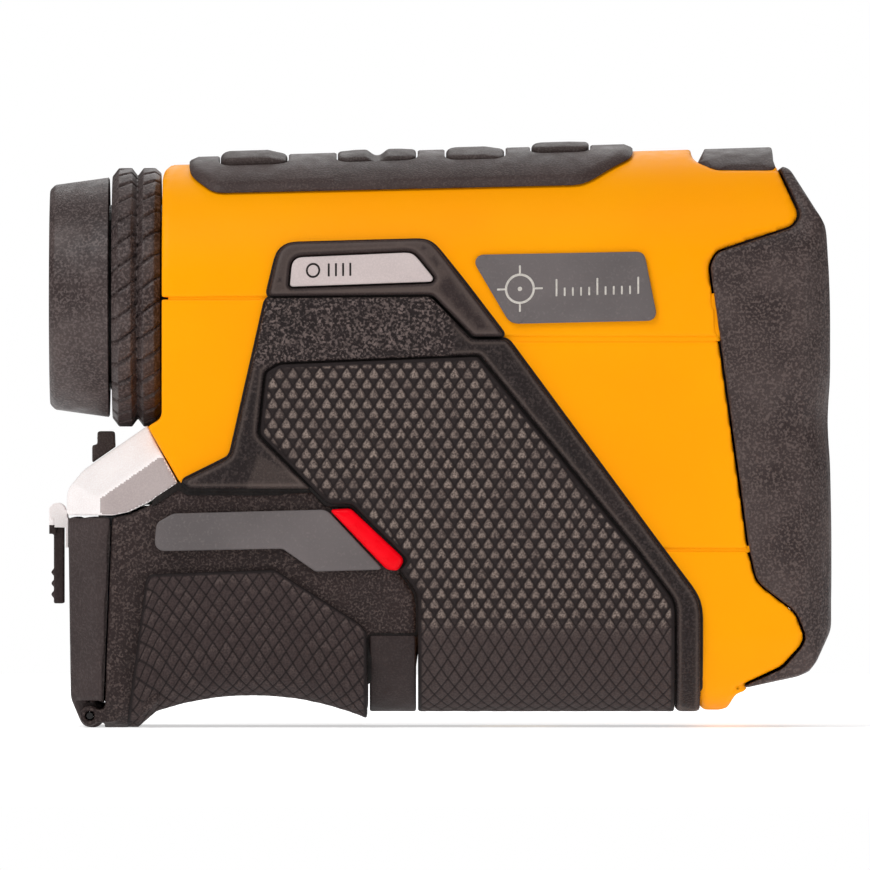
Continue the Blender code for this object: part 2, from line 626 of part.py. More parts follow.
def eyepiece():
    """Fixed tube, diopter ring, sliding eyecup, and the lens cell that the ring moves."""
    axis = (0, 0, AXIS_Z)
    tube = [(14.2, -57.0), (14.2, -40.0), (17.6, -40.0), (17.6, -38.4), (14.2, -38.4), (14.2, -37.2),
            (12.4, -37.2), (12.4, -57.0)]
    shade(turned("eyepiece_tube", tube, axis, "metal"))
    ring("eyepiece_seal", 16.1, 14.5, -42.3, -40.3, axis, "rubber")
    bands = [(14.6, -50.3), (18.6, -50.3), (19.9, -49.3), (19.9, -47.3), (18.9, -46.4), (19.9, -45.5),
             (19.9, -43.6), (19.2, -42.8), (14.6, -42.8)]
    shade(turned("diopter_ring", bands, axis, "rubber"))
    cup = [(18.5, -50.75), (17.4, -59.2), (16.7, -59.9), (14.0, -59.9), (12.8, -57.3), (14.6, -57.3),
           (14.6, -50.75)]
    shade(turned("eyecup", cup, axis, "rubber"))
    cell = [(11.9, -55.3), (11.9, -44.4), (9.4, -44.4), (9.4, -50.5), (10.4, -50.5), (10.4, -54.3),
            (9.6, -55.3)]
    shade(turned("ocular_cell", cell, axis, "metal"))
    lens("eye_lens", 10.1, -53.9, -51.1, 0.9, axis)


def lens(name, radius, low, high, bulge, centre):
    """A biconvex lens between low and high at its middle, thinner by bulge on each side at its rim."""
    steps = 4
    front = [(radius * k / steps, high - bulge * (k / steps) ** 2) for k in range(steps + 1)]
    back = [(radius * k / steps, low + bulge * (k / steps) ** 2) for k in range(steps, -1, -1)]
    return shade(turned(name, front + back, centre, "glass", "X", 28))


# ---------------------------------------------------------------- front optics and what is inside

def front_optics():
    """Two lens barrels: the sighting objective above, the laser's below."""
    front = PLATE_X[1] - 0.4
    for name, z, outer, inner, back in BARRELS:
        barrel = [(outer, front), (outer, back), (inner, back), (inner, front - 1.1), (inner - 1.3, front)]
        shade(turned(f"{name}_cell", barrel, (0, 0, z), "metal"))
        lens(f"{name}_lens", inner - 0.3, front - 6.6, front - 1.8, 1.5, (0, 0, z))


def optical_bench():
    """The frame that holds the barrels, the prism and the eyepiece in line."""
    outline = [(-19.5, 80.5, 15), (-19.5, 9.0, 7), (19.5, 9.0, 7), (19.5, 80.5, 15)]
    ports = [rod(f"bench_{name}", outer + GAP, 30, 60, (0, 0, z), "X", steps=TURNED_STEPS)
             for name, z, outer, *_ in BARRELS]
    bench = cut(prism("optical_bench", outline, "YZ", 42.0, 44.5, "metal"), *ports)
    rail = box("bench_rail", (-36.0, -4.0, 43.6), (42.5, 4.0, 48.0))
    rear = box("bench_rear", (-36.8, -15.0, 42.0), (-35.2, 15.0, 79.0))
    light_path = rod("bench_light", 11.0, -45, -30, (0, 0, AXIS_Z), "X", steps=32)
    tray = box("prism_tray", (-31.0, -10.0, 47.0), (-10.0, 10.0, 54.6))
    join(bench, rail, cut(rear, light_path), tray)
    glass = [(-30.0, 55.0, 0), (-11.0, 55.0, 0), (-11.0, 66.0, 0), (-16.5, 76.5, 0), (-24.5, 76.5, 0),
             (-30.0, 66.0, 0)]
    prism("roof_prism", glass, "XZ", -8.5, 8.5, "glass")
    display = prism("reticle_display", rectangle(-9.5, 56.0, 9.5, 77.5, 1.0), "YZ", -34.6, -32.9, "board")
    cut(display, rod("display_window", 7.0, -40, -30, (0, 0, AXIS_Z), "X", steps=24))


def electronics():
    """Main board, bearing sensor, laser transmitter and receiver."""
    board = box("main_board", (1.0, 14.6, 14.0), (32.0, 16.0, 56.0), "board")
    chips = ((4, 18, 9, 9), (3, 40, 12, 12), (17, 22, 8, 6), (20, 44, 7, 7), (18, 33, 6, 5))
    for number, (x, z, wide, tall) in enumerate(chips):
        join(board, box(f"chip_{number}", (x, 13.2, z), (x + wide, 14.9, z + tall)))
    compass = box("compass_module", (22.5, -8.0, 6.4), (38.0, 8.0, 7.6), "board")
    join(compass, box("compass_chip", (27.5, -3.0, 7.3), (33.5, 3.0, 9.2)))
    transmitter = rod("laser_module", 4.5, 18.0, 29.5, (0, 0, LASER_Z), "X", "brass", steps=20)
    join(transmitter, box("laser_board", (16.8, -8.0, LASER_Z - 7.0), (18.4, 8.0, LASER_Z + 7.0)))
    receiver = box("receiver_module", (6.0, -7.0, 49.0), (20.0, 7.0, 50.4), "board")
    join(receiver, rod("receiver_can", 3.8, 50.0, 55.5, (13.0, 0, 0), "Z", steps=20))


# ---------------------------------------------------------------- batteries, door and latch

def batteries():
    """Two CR2 cells side by side, the contact board over them and the spring strip below."""
    low = BAY_FLOOR + 0.4
    top = low + BATTERY_LENGTH
    for word, side in (("right", -1), ("left", 1)):
        profile = [(0, top), (2.9, top), (2.9, top - 0.9), (7.3, top - 0.9), (BATTERY_RADIUS, top - 1.4),
                   (BATTERY_RADIUS, low + 0.4), (7.4, low), (0, low)]
        shade(turned(f"battery_{word}", profile, (BATTERY_X, side * BATTERY_Y, 0), "cell", "Z", 28))
    box("contact_board", (-52.2, -16.0, top + 0.2), (-37.0, 16.0, top + 1.1), "board")
    strip = box("spring_strip", (-46.6, -13.0, BAY_FLOOR + 0.05), (-42.6, 13.0, BAY_FLOOR + 0.25), "metal")
    for side in (-1, 1):
        place = (BATTERY_X, side * BATTERY_Y, BAY_FLOOR)
        pad = rod(f"spring_pad_{side}", 4.0, 0.04, 0.3, place, "Z", steps=16)
        join(strip, pad)


def battery_door():
    """The rear cover: a scoop that swings down on the pin through its lower edge."""
    door = prism("battery_door", DOOR, "XZ", -30, 30, "black")
    plan = prism("door_plan", DOOR_PLAN, "XY", -5, 60)
    inner_plan = prism("door_inner_plan", inset(DOOR_PLAN, 1.7), "XY", 3.9, 30.6)
    scoop = keep(prism("door_scoop", inset(DOOR, 1.7), "XZ", -20.3, 20.3), inner_plan)
    mouth = box("door_mouth", (-54.9, -19.0, BAY_FLOOR), (-48.0, 19.0, 40.0))
    x, _, z = HINGE
    notches = [box(f"door_notch_{side}", (x - 2.6, min(side * 17.8, side * 26), -2),
                   (-48, max(side * 17.8, side * 26), z + 2.3)) for side in (-1, 1)]
    bore = rod("door_bore", 0.9, -30, 30, (x, 0, z), "Y", steps=16)
    cut(keep(door, plan), join(scoop, mouth), *notches, bore)
    put_origin(door, HINGE)
    shade(door)
    rod("hinge_pin", 0.5, -20.6, 20.6, (x, 0, z), "Y", "metal", 12)
    seal = [(-21.3, 31.0, 0), (-21.3, 3.9, 2), (21.3, 3.9, 2), (21.3, 31.0, 0),
            (19.9, 31.0, 0), (19.9, 5.3, 1), (-19.9, 5.3, 1), (-19.9, 31.0, 0)]
    gasket = prism("door_gasket", seal, "YZ", -0.35, 0.35, "rubber")
    recess = prism("gasket_recess", inset(seal, -0.35), "YZ", -0.8, 1.2)
    lean = Matrix.Rotation(math.atan2(51.75 - 50.45, 32.2), 4, "Y")
    for obj in (gasket, recess):
        obj.matrix_world = Matrix.Translation(Vector((-51.95, 0, 0)) * MM) @ lean @ obj.matrix_world
        put_origin(obj, HINGE)
    cut(door, recess)


def latch():
    """A plate with two ears and a pin on the door, and the lever that turns on the pin."""
    x, _, z = LATCH
    plate = box("latch_plate", (-57.45, -6.6, 27.5), (-57.05, 6.6, 32.1), "silver")
    for side in (-1, 1):
        low, high = sorted((side * 5.3, side * 6.6))
        ear = rod(f"latch_ear_{side}", 1.25, low, high, (x, 0, z), "Y", steps=16)
        web = box(f"latch_web_{side}", (x - 0.4, low, 30.6), (-57.2, high, z + 0.2))
        join(plate, join(ear, web))
    join(plate, rod("latch_pin", 0.45, -6.0, 6.0, (x, 0, z), "Y", steps=12))
    lever = rod("latch_lever", 1.3, -5.0, 5.0, (x, 0, z), "Y", "silver", 20)
    tab = box("latch_tab", (-60.0, -5.0, 29.6), (-58.9, 5.0, z + 0.4))
    grip = box("latch_grip", (-59.3, -4.4, 18.9), (-57.75, 4.4, 32.4))
    join(lever, tab, grip)
    for number in range(3):
        height = 20.3 + number * 1.7
        join(lever, rod(f"latch_rib_{number}", 0.45, -4.0, 4.0, (-59.25, 0, height), "Y", steps=10))
    shade(cut(lever, rod("lever_bore", 0.75, -9, 9, (x, 0, z), "Y", steps=16)))


def strap_lug():
    """A small bracket under the eyepiece with a cross bar for a wrist cord."""
    outline = [(-50.0, 45.4, 0.4), (-52.6, 45.4, 0.4), (-52.6, 43.4, 0.2), (-53.4, 43.2, 0.3),
               (-53.4, 40.55, 0), (-49.9, 42.98, 0)]
    lug = prism("strap_lug", outline, "XZ", -5.0, 5.0, "metal")
    pocket = [(-55, 47, 0), (-55, 41.4, 0), (-52.6, 41.4, 0), (-50.8, 42.9, 0), (-50.8, 47, 0)]
    cut(lug, prism("lug_pocket", pocket, "XZ", -3.3, 3.3))
    shade(join(lug, rod("lug_bar", 0.65, -4.0, 4.0, (-52.0, 0, 44.3), "Y", steps=14)))


def build():
    yellow_shells()
    battery_housing()
    rear_bezel()
    grip_band()
    front_end()
    side_skins()
    grip_pads()
    tripod_insert()
    case_screws()
    keypad()
    antenna()
    eyepiece()
    front_optics()
    optical_bench()
    electronics()
    batteries()
    battery_door()
    latch()
    strap_lug()


build()
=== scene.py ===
"""Looks for the handheld rangefinder: its skins, grips, optics and materials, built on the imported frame.

Shapes are worked out in millimetres, in the frame's own axes (X along the optical axis, Z up), and MM
turns them into metres where a mesh is made. Outlines come from the CAD nodes' own outer faces.
"""

import json
import math

import bmesh
import bpy
import numpy as np
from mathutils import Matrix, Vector
from mathutils.geometry import delaunay_2d_cdt


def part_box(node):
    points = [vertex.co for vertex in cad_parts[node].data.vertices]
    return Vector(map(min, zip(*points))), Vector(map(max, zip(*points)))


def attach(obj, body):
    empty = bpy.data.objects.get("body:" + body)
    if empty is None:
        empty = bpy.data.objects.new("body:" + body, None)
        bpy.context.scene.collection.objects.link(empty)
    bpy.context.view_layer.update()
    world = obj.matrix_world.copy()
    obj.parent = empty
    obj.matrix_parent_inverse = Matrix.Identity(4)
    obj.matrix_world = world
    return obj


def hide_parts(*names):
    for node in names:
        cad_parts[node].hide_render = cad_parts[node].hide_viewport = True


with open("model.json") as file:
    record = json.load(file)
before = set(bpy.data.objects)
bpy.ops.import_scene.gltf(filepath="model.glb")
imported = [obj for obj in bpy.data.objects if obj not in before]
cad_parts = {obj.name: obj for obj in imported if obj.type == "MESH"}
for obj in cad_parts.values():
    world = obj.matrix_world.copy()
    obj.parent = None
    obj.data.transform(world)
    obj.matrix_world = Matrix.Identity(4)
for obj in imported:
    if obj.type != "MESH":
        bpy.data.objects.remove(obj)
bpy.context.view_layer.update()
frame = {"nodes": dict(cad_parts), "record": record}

MM = 0.001
BODY = "instrument"
SIDES = (("right", -1), ("left", 1))


# ---------------------------------------------------------------- what the frame says

def span(node):
    """A CAD node's lowest and highest corners, in millimetres."""
    low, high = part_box(node)
    return low / MM, high / MM


def middle(node):
    low, high = span(node)
    return (low + high) / 2


HALF = span("middle_shell")[1].y
AXIS = middle("diopter_ring")
LASER = middle("laser_cell")
CROWN_RADIUS = 20.0
CROWN_TOP = 87.55
CROWN_SLOPE = math.tan(math.radians(1.7))
KEEL_RADIUS = 10.7
KEEL_LEVEL = 3.7
TOE_RADIUS = 11.8
TOE_LEVEL = span("base_shell")[0].z
BAND_LEVEL = span("grip_band")[0].z
SADDLE_RADIUS = 7.0
SCALLOP = (-28.7, -39.3)
SCALLOP_RADIUS = 45.3
SCALLOP_REACH = (14.75, 17.7)
TOE_RUN = 3.5
TOE_SLOPE = 0.87
HANDLE_FOOT = 1.15
PANEL_LIFT = span("grip_pad")[1].y - HALF


# ---------------------------------------------------------------- colours and materials

def srgb(*values):
    """Linear colour from sRGB values up to 255."""
    return tuple((v / 255 / 12.92) if v < 10 else (((v / 255) + 0.055) / 1.055) ** 2.4 for v in values)


def darker(colour):
    return tuple(0.75 * c for c in colour)


class Recipe:
    """A Principled material built node by node."""

    def __init__(self, name, roughness=0.5, metallic=0.0, **more):
        self.material = bpy.data.materials.new(name)
        self.material.use_nodes = True
        self.tree = self.material.node_tree
        self.shader = self.tree.nodes["Principled BSDF"]
        self.shader.inputs["Roughness"].default_value = roughness
        self.shader.inputs["Metallic"].default_value = metallic
        for socket, value in more.items():
            self.shader.inputs[socket.replace("_", " ")].default_value = value
        self.place = self.tree.nodes.new("ShaderNodeTexCoord").outputs["Object"]
        self.bump = None

    def node(self, kind, **settings):
        made = self.tree.nodes.new(kind)
        for key, value in settings.items():
            if key in made.inputs:
                made.inputs[key].default_value = value
            else:
                setattr(made, key, value)
        return made

    def link(self, source, target):
        self.tree.links.new(source, target)

    def noise(self, size, detail=3.0, stretch=None):
        """Noise whose features are about size millimetres across; stretch scales each axis."""
        made = self.node("ShaderNodeTexNoise", Scale=1 / (size * MM), Detail=detail)
        self.link(self.stretched(stretch), made.inputs["Vector"])
        return made.outputs["Fac"]

    def cells(self, size):
        """Pebbles about size millimetres across: Distance from the middle, and a random Color for each."""
        made = self.node("ShaderNodeTexVoronoi", Scale=1 / (size * MM))
        self.link(self.place, made.inputs["Vector"])
        return made

    def product(self, first, second):
        made = self.node("ShaderNodeMath", operation="MULTIPLY")
        self.link(first, made.inputs[0])
        self.link(second, made.inputs[1])
        return made.outputs[0]

    def stretched(self, factors):
        if not factors:
            return self.place
        made = self.node("ShaderNodeMapping")
        made.inputs["Scale"].default_value = factors
        self.link(self.place, made.inputs["Vector"])
        return made.outputs["Vector"]

    def attribute(self, name):
        """A number that the mesh gives for each point."""
        return self.node("ShaderNodeAttribute", attribute_name=name).outputs["Fac"]

    def spread(self, value, low, high, out_low=0.0, out_high=1.0):
        """Maps value from low..high to out_low..out_high, clamped."""
        made = self.node("ShaderNodeMapRange")
        limits = {"From Min": low, "From Max": high, "To Min": out_low, "To Max": out_high}
        for socket, number in limits.items():
            made.inputs[socket].default_value = number
        self.link(value, made.inputs["Value"])
        return made.outputs["Result"]

    def mixed(self, factor, first, second):
        """A colour between first and second; each is a colour or another node's output."""
        made = self.node("ShaderNodeMix", data_type="RGBA")
        self.link(factor, made.inputs[0])
        for socket, colour in ((made.inputs[6], first), (made.inputs[7], second)):
            if isinstance(colour, tuple):
                socket.default_value = (*colour, 1)
            else:
                self.link(colour, socket)
        return made.outputs[2]

    def colour(self, value):
        self.link(value, self.shader.inputs["Base Color"])
        return self

    def rough(self, value):
        self.link(value, self.shader.inputs["Roughness"])
        return self

    def uneven(self, size, detail, low, high):
        """Roughness that drifts between low and high in patches about size millimetres across."""
        return self.rough(self.spread(self.noise(size, detail), 0.3, 0.7, low, high))

    def raise_by(self, value, depth, strength=1.0):
        """Adds a bump of depth millimetres, on top of any bump already there."""
        made = self.node("ShaderNodeBump", Strength=strength, Distance=depth * MM)
        self.link(value, made.inputs["Height"])
        if self.bump:
            self.link(self.bump, made.inputs["Normal"])
        self.bump = made.outputs["Normal"]
        self.link(self.bump, self.shader.inputs["Normal"])
        return self


def yellow_paint():
    made = Recipe("yellow_shell", 0.45, Specular_IOR_Level=0.07)
    drift = made.spread(made.noise(28, 2), 0.35, 0.65)
    made.colour(made.mixed(drift, (1.0, 0.345, 0.0), (1.0, 0.375, 0.0)))
    made.uneven(1.6, 4, 0.36, 0.5)
    made.raise_by(made.noise(0.9, 3), 0.012).raise_by(made.noise(5, 2), 0.02)
    return made.material


def moulded_black(name, dark, light, grain=0.5, depth=0.04, roughness=0.55, dots=0.5, field=False):
    """Black plastic with a pebbled mould grain, whose pebbles are paler than the grooves round them.

    Where field is set, the relief attribute says how strong the grain is, and a second attribute mixes the
    bevels toward a pale brown: a painted highlight.
    """
    made = Recipe(name, roughness, Specular_IOR_Level=0.22)
    top = made.spread(made.noise(grain, 2), 0.47, 0.62, 0.0, 1.0)
    share = made.product(top, made.spread(made.noise(grain * 3.1, 2), 0.3, 0.7, 0.35 * dots, dots))
    if field:
        share = made.product(share, made.attribute("relief"))
    drift = made.mixed(made.spread(made.noise(9, 3), 0.35, 0.65), dark, darker(dark))
    colour = made.mixed(share, drift, light)
    if field:
        # painted highlight: the bevels, and the frame's sunk triangle, mixed toward a pale brown
        colour = made.mixed(made.attribute("shade"), colour, srgb(104, 90, 84))
    made.colour(colour)
    made.uneven(2.2, 3, roughness - 0.06, roughness + 0.1)
    made.raise_by(top, depth).raise_by(made.noise(0.16, 2), depth * 0.4)
    return made.material


def grip_rubber(name, groove, top, lit_crest):
    """Soft rubber: dark in the grooves, with noise patches of dust, and greyer, warmer tops where an
    attribute marks the upper facets: a painted highlight.
    """
    made = Recipe(name, 0.66, Specular_IOR_Level=0.2)
    # painted highlight: tops mixed toward the pale crest colour where the mesh marks them lit
    painted_lit_tops = made.mixed(made.attribute("shade"), top, lit_crest)
    patch = made.spread(made.noise(0.3, 3), 0.4, 0.62, 0, 0.8)
    dust_on_lit_tops = made.mixed(patch, painted_lit_tops, tuple((a + b) / 2 for a, b in zip(groove, top)))
    made.colour(made.mixed(made.attribute("relief"), groove, dust_on_lit_tops))
    made.uneven(0.8, 3, 0.55, 0.75)
    made.raise_by(made.noise(0.22, 3), 0.04)
    return made.material


def soft_rubber(name, dark, light, fleck, grain=0.5, depth=0.03, roughness=0.5):
    """Rubber with a fine leathery grain and paler flecks where it is handled."""
    made = Recipe(name, roughness, Specular_IOR_Level=0.28)
    top = made.spread(made.cells(grain).outputs["Distance"], 0.1, 0.6, 1, 0)
    base = made.mixed(made.spread(made.noise(7, 4), 0.35, 0.65), dark, light)
    made.colour(made.mixed(made.spread(made.noise(0.38, 2), 0.47, 0.64, 0, 0.7), base, fleck))
    made.uneven(2.5, 3, roughness - 0.08, roughness + 0.1)
    made.raise_by(top, depth).raise_by(made.noise(0.2, 2), depth * 0.5)
    return made.material


def silver_paint(name, light, dark, roughness=0.42):
    made = Recipe(name, roughness, Specular_IOR_Level=0.4)
    flake = made.spread(made.noise(0.22, 2), 0.4, 0.75, 0, 0.5)
    drift = made.mixed(made.spread(made.noise(11, 3), 0.35, 0.65), light, dark)
    made.colour(made.mixed(flake, drift, tuple(min(1, 1.2 * c) for c in light)))
    made.uneven(1.8, 3, roughness - 0.06, roughness + 0.08)
    made.raise_by(made.noise(0.3, 3), 0.012)
    return made.material


def brushed(name, colour, roughness, direction, metallic=1.0):
    """Machined or brushed metal whose fine lines run along the axis with the small stretch."""
    made = Recipe(name, roughness, metallic)
    lines = made.noise(0.25, 3, direction)
    made.colour(made.mixed(made.spread(lines, 0.3, 0.7), colour, darker(colour)))
    made.rough(made.spread(lines, 0.3, 0.7, roughness - 0.08, roughness + 0.1))
    made.raise_by(lines, 0.01)
    return made.material


def flat_plate():
    made = Recipe("grey_plate", 0.45, Specular_IOR_Level=0.25)
    drift = made.spread(made.noise(14, 3), 0.35, 0.65)
    base = made.mixed(drift, srgb(92, 86, 86), srgb(104, 97, 97))
    made.colour(made.mixed(made.spread(made.noise(0.4, 3), 0.55, 0.8, 0, 0.5), base, srgb(122, 114, 113)))
    made.uneven(1.2, 3, 0.38, 0.52)
    made.raise_by(made.noise(0.35, 3), 0.01)
    return made.material


def red_insert():
    made = Recipe("red_insert", 0.3, Specular_IOR_Level=0.1)
    drift = made.spread(made.noise(6, 3), 0.35, 0.65)
    made.colour(made.mixed(drift, (0.86, 0.0, 0.006), (0.96, 0.001, 0.01)))
    made.uneven(1.5, 3, 0.24, 0.36)
    made.raise_by(made.noise(0.6, 2), 0.008)
    return made.material


def coated_glass(name, tint):
    made = Recipe(name, 0.02, Transmission_Weight=1.0, IOR=1.52, Coat_Weight=0.6, Coat_Roughness=0.02)
    made.shader.inputs["Coat Tint"].default_value = (*tint, 1)
    made.rough(made.spread(made.noise(6, 3), 0.45, 0.8, 0.01, 0.05))
    made.colour(made.mixed(made.spread(made.noise(20, 1), 0.3, 0.7), (0.86, 0.93, 0.95), (0.9, 0.95, 0.93)))
    return made.material


def circuit_board():
    made = Recipe("circuit_board", 0.4, Coat_Weight=0.3)
    tracks = made.node("ShaderNodeTexBrick", Scale=1 / (3.1 * MM))
    made.link(made.place, tracks.inputs["Vector"])
    lines = made.spread(tracks.outputs["Fac"], 0, 1)
    made.colour(made.mixed(lines, srgb(12, 74, 44), srgb(30, 112, 66)))
    made.rough(made.spread(made.noise(1.0), 0.3, 0.7, 0.34, 0.5))
    made.raise_by(lines, 0.03)
    return made.material


def cell_wrap():
    made = Recipe("cell_wrap", 0.3, Coat_Weight=0.5)
    bands = made.spread(made.noise(8, 1, (0.02, 0.02, 1.0)), 0.47, 0.53)
    made.colour(made.mixed(bands, srgb(34, 46, 84), srgb(168, 172, 178)))
    made.rough(made.spread(made.noise(1.5), 0.3, 0.7, 0.24, 0.36))
    made.raise_by(made.noise(0.8), 0.01)
    return made.material


def ink(name, colour):
    made = Recipe(name, 0.5)
    made.colour(made.mixed(made.spread(made.noise(0.5, 3), 0.4, 0.7), colour, darker(colour)))
    made.raise_by(made.noise(0.2), 0.01)
    return made.material


LOOK = {
    "yellow": yellow_paint(),
    "panel": moulded_black("panel_black", srgb(50, 38, 37), srgb(84, 70, 66), 0.3, 0.015, 0.5, 0.6, True),
    "frame": moulded_black("frame_black", srgb(30, 20, 20), srgb(116, 101, 97), 0.36, 0.05, 0.55, 0.9,
                           True),
    "housing": moulded_black("housing_black", srgb(42, 30, 29), srgb(92, 78, 74), 0.36, 0.05, 0.55, 0.85),
    "door": moulded_black("door_black", srgb(60, 49, 48), srgb(90, 79, 77), 0.35, 0.03, 0.5, 0.4),
    "strip": moulded_black("strip_black", srgb(62, 49, 47), srgb(96, 82, 78), 0.3, 0.02, 0.45, 0.4),
    "key": moulded_black("key_black", srgb(64, 53, 51), srgb(104, 94, 90), 0.28, 0.025, 0.5, 0.4),
    "band": moulded_black("band_black", srgb(50, 39, 38), srgb(74, 62, 60), 0.3, 0.012, 0.5, 0.4),
    # the third colour of each grip rubber is the painted highlight on its lit facets
    "scales": grip_rubber("scaled_rubber", srgb(28, 20, 20), srgb(74, 62, 60), srgb(142, 126, 117)),
    "diamonds": grip_rubber("diamond_rubber", srgb(24, 16, 16), srgb(58, 46, 45), srgb(86, 73, 70)),
    "bumper": soft_rubber("bumper_rubber", srgb(42, 30, 29), srgb(66, 54, 52), srgb(100, 86, 82), 0.45,
                          0.04, 0.48),
    "ring": soft_rubber("eyepiece_rubber", srgb(46, 35, 34), srgb(70, 59, 57), srgb(100, 88, 86), 0.4,
                        0.02, 0.48),
    # near-black rubber for strips behind gaps, as painted shade, and for dark printed marks
    "painted_shade_and_ink": soft_rubber("shaded_seam_strip", srgb(14, 9, 8), srgb(22, 14, 13), srgb(34, 26, 24), 0.6, 0.02, 0.7),
    "silver": silver_paint("silver_nose", srgb(246, 238, 236), srgb(234, 225, 223)),
    # a darker copy of the silver for the bezel's upright flanks: painted shade
    "silver_shaded_side": silver_paint("silver_flank_painted_shade", srgb(176, 163, 161), srgb(166, 153, 151), 0.5),
    "nameplate": silver_paint("silver_nameplate", srgb(196, 182, 180), srgb(184, 170, 168), 0.5),
    "grey": flat_plate(),
    "red": red_insert(),
    "coated_blue": coated_glass("coated_glass_blue", (0.45, 0.6, 1.0)),
    "coated_ruby": coated_glass("coated_glass_ruby", (1.0, 0.42, 0.35)),
    "clear": coated_glass("prism_glass", (0.9, 0.95, 1.0)),
    "dark_metal": brushed("black_anodised", srgb(48, 46, 46), 0.42, (0.2, 1, 1), 0.7),
    "steel": brushed("steel", srgb(196, 194, 190), 0.3, (1, 1, 0.1)),
    "brass": brushed("turned_brass", srgb(206, 168, 92), 0.3, (1, 1, 0.08)),
    "board": circuit_board(),
    "cell": cell_wrap(),
    "white_ink": ink("white_ink", srgb(200, 194, 186)),
}


# ---------------------------------------------------------------- meshes

BODY_OF = {node: body for body, nodes in frame["record"]["behaviour"]["bodies"].items() for node in nodes}


def finish_piece(obj, look, nodes, body=None):
    """Gives a piece its material and the body it rides on, and hides the CAD nodes that it stands for."""
    obj.data.materials.clear()
    obj.data.materials.append(LOOK[look])
    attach(obj, body or BODY_OF[nodes[0]])
    if nodes:
        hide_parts(*nodes)
    return obj


def mesh_piece(name, points, faces, look, nodes=(), body=None, sharp=40, values=None):
    """A piece from points in millimetres, smooth except over edges sharper than sharp degrees."""
    mesh = bpy.data.meshes.new(name)
    mesh.from_pydata((np.asarray(points) * MM).tolist(), [], [tuple(map(int, face)) for face in faces])
    mesh.shade_smooth()
    mesh.set_sharp_from_angle(angle=math.radians(sharp))
    for key, numbers in (values or {}).items():
        mesh.attributes.new(key, "FLOAT", "POINT").data.foreach_set("value", numbers.astype(np.float32))
    obj = bpy.data.objects.new(name, mesh)
    bpy.context.scene.collection.objects.link(obj)
    return finish_piece(obj, look, nodes, body)


def rounded(corners, step=12):
    """Points of a closed outline whose corners (u, v, radius) become arcs."""
    points = []
    for i, (u, v, radius) in enumerate(corners):
        here = Vector((u, v))
        before = (Vector(corners[i - 1][:2]) - here).normalized()
        after = (Vector(corners[(i + 1) % len(corners)][:2]) - here).normalized()
        half = before.angle(after) / 2
        if radius <= 0 or half > math.radians(89):
            points.append((u, v))
            continue
        centre = here + (before + after).normalized() * radius / math.sin(half)
        start = here + before * radius / math.tan(half) - centre
        end = here + after * radius / math.tan(half) - centre
        first = math.atan2(start.y, start.x)
        sweep = (math.atan2(end.y, end.x) - first + math.pi) % math.tau - math.pi
        count = max(2, math.ceil(abs(math.degrees(sweep)) / step))
        for k in range(count + 1):
            angle = first + sweep * k / count
            points.append((centre.x + radius * math.cos(angle), centre.y + radius * math.sin(angle)))
    return points


def cad_mesh(node):
    """A CAD node's points in millimetres, with doubles merged, and its triangles."""
    mesh = frame["nodes"][node].data
    mesh.calc_loop_triangles()
    raw = np.array([v.co for v in mesh.vertices]) / MM
    _, first, index = np.unique(np.round(raw, 3), axis=0, return_index=True, return_inverse=True)
    triangles = np.array([t.vertices for t in mesh.loop_triangles])
    return raw[first], index.reshape(-1)[triangles]


# ---------------------------------------------------------------- skins: walls that other pieces lie on

class Skin:
    """A wall along X: upright sides joined by a rounded crown (up = 1) or keel (up = -1).

    A place on it is x and v, the distance along the section from its middle line, positive on the left.
    """

    def __init__(self, radius, level, up):
        self.radius, self.level, self.turn = radius, level, up
        self.flat = HALF - radius
        self.arc = radius * math.pi / 2

    def put(self, x, v, lift):
        """Points at x, v, moved off the wall by lift."""
        x, v, lift = np.broadcast_arrays(x, v, lift)
        along = np.abs(v) - self.flat
        angle = np.clip(along / self.radius, 0, math.pi / 2)
        reach = self.radius + lift
        y = np.where(along < 0, np.abs(v), self.flat + reach * np.sin(angle))
        drop = self.radius - reach * np.cos(angle) + np.maximum(along - self.arc, 0)
        return np.stack([x, np.copysign(y, v), self.level(x) - self.turn * drop], -1)

    def find(self, points):
        """x, v and lift of points near the wall."""
        x, y, z = points.T
        across = np.abs(y) - self.flat
        depth = self.turn * (self.level(x) - z) - self.radius
        angle = np.arctan2(np.maximum(across, 0), np.maximum(-depth, 0))
        v = np.where(depth > 0, self.flat + self.arc + depth, self.flat + self.radius * angle)
        v = np.where((across < 0) & (depth <= 0), np.abs(y), v)
        lift = np.hypot(np.maximum(across, 0), -depth) - self.radius
        lift = np.where(depth > 0, across - self.radius, lift)
        lift = np.where((across < 0) & (depth <= 0), -depth - self.radius, lift)
        return x, np.copysign(v, y), lift

    def side(self, z, x=0.0):
        """Distance along the section to a height on the upright side."""
        return self.flat + self.arc + self.turn * (self.level(x) - z) - self.radius

    def height(self, x, v):
        """The height on the upright side at a distance along the section."""
        return self.level(x) - self.turn * (np.abs(v) - self.flat - self.arc + self.radius)


def crown_level(x):
    return CROWN_TOP + np.asarray(x) * CROWN_SLOPE


def scallop_level(x):
    """The arch of the finger scallop, run down to the toe behind it and the band before it."""
    rear, front = SCALLOP_REACH
    away = np.clip(np.asarray(x) - SCALLOP[0], -rear, front)
    arch = SCALLOP[1] + np.sqrt(SCALLOP_RADIUS ** 2 - away ** 2)
    toe = np.clip(SCALLOP[0] - rear - np.asarray(x), 0, TOE_RUN) * TOE_SLOPE
    return np.maximum(arch - toe, HANDLE_FOOT)


CROWN = Skin(CROWN_RADIUS, crown_level, 1)
KEEL = Skin(KEEL_RADIUS, lambda x: KEEL_LEVEL + 0 * np.asarray(x), -1)
TOE = Skin(TOE_RADIUS, lambda x: TOE_LEVEL + 0 * np.asarray(x), -1)
BAND = Skin(TOE_RADIUS, lambda x: BAND_LEVEL + 0 * np.asarray(x), -1)
SADDLE = Skin(SADDLE_RADIUS, scallop_level, -1)


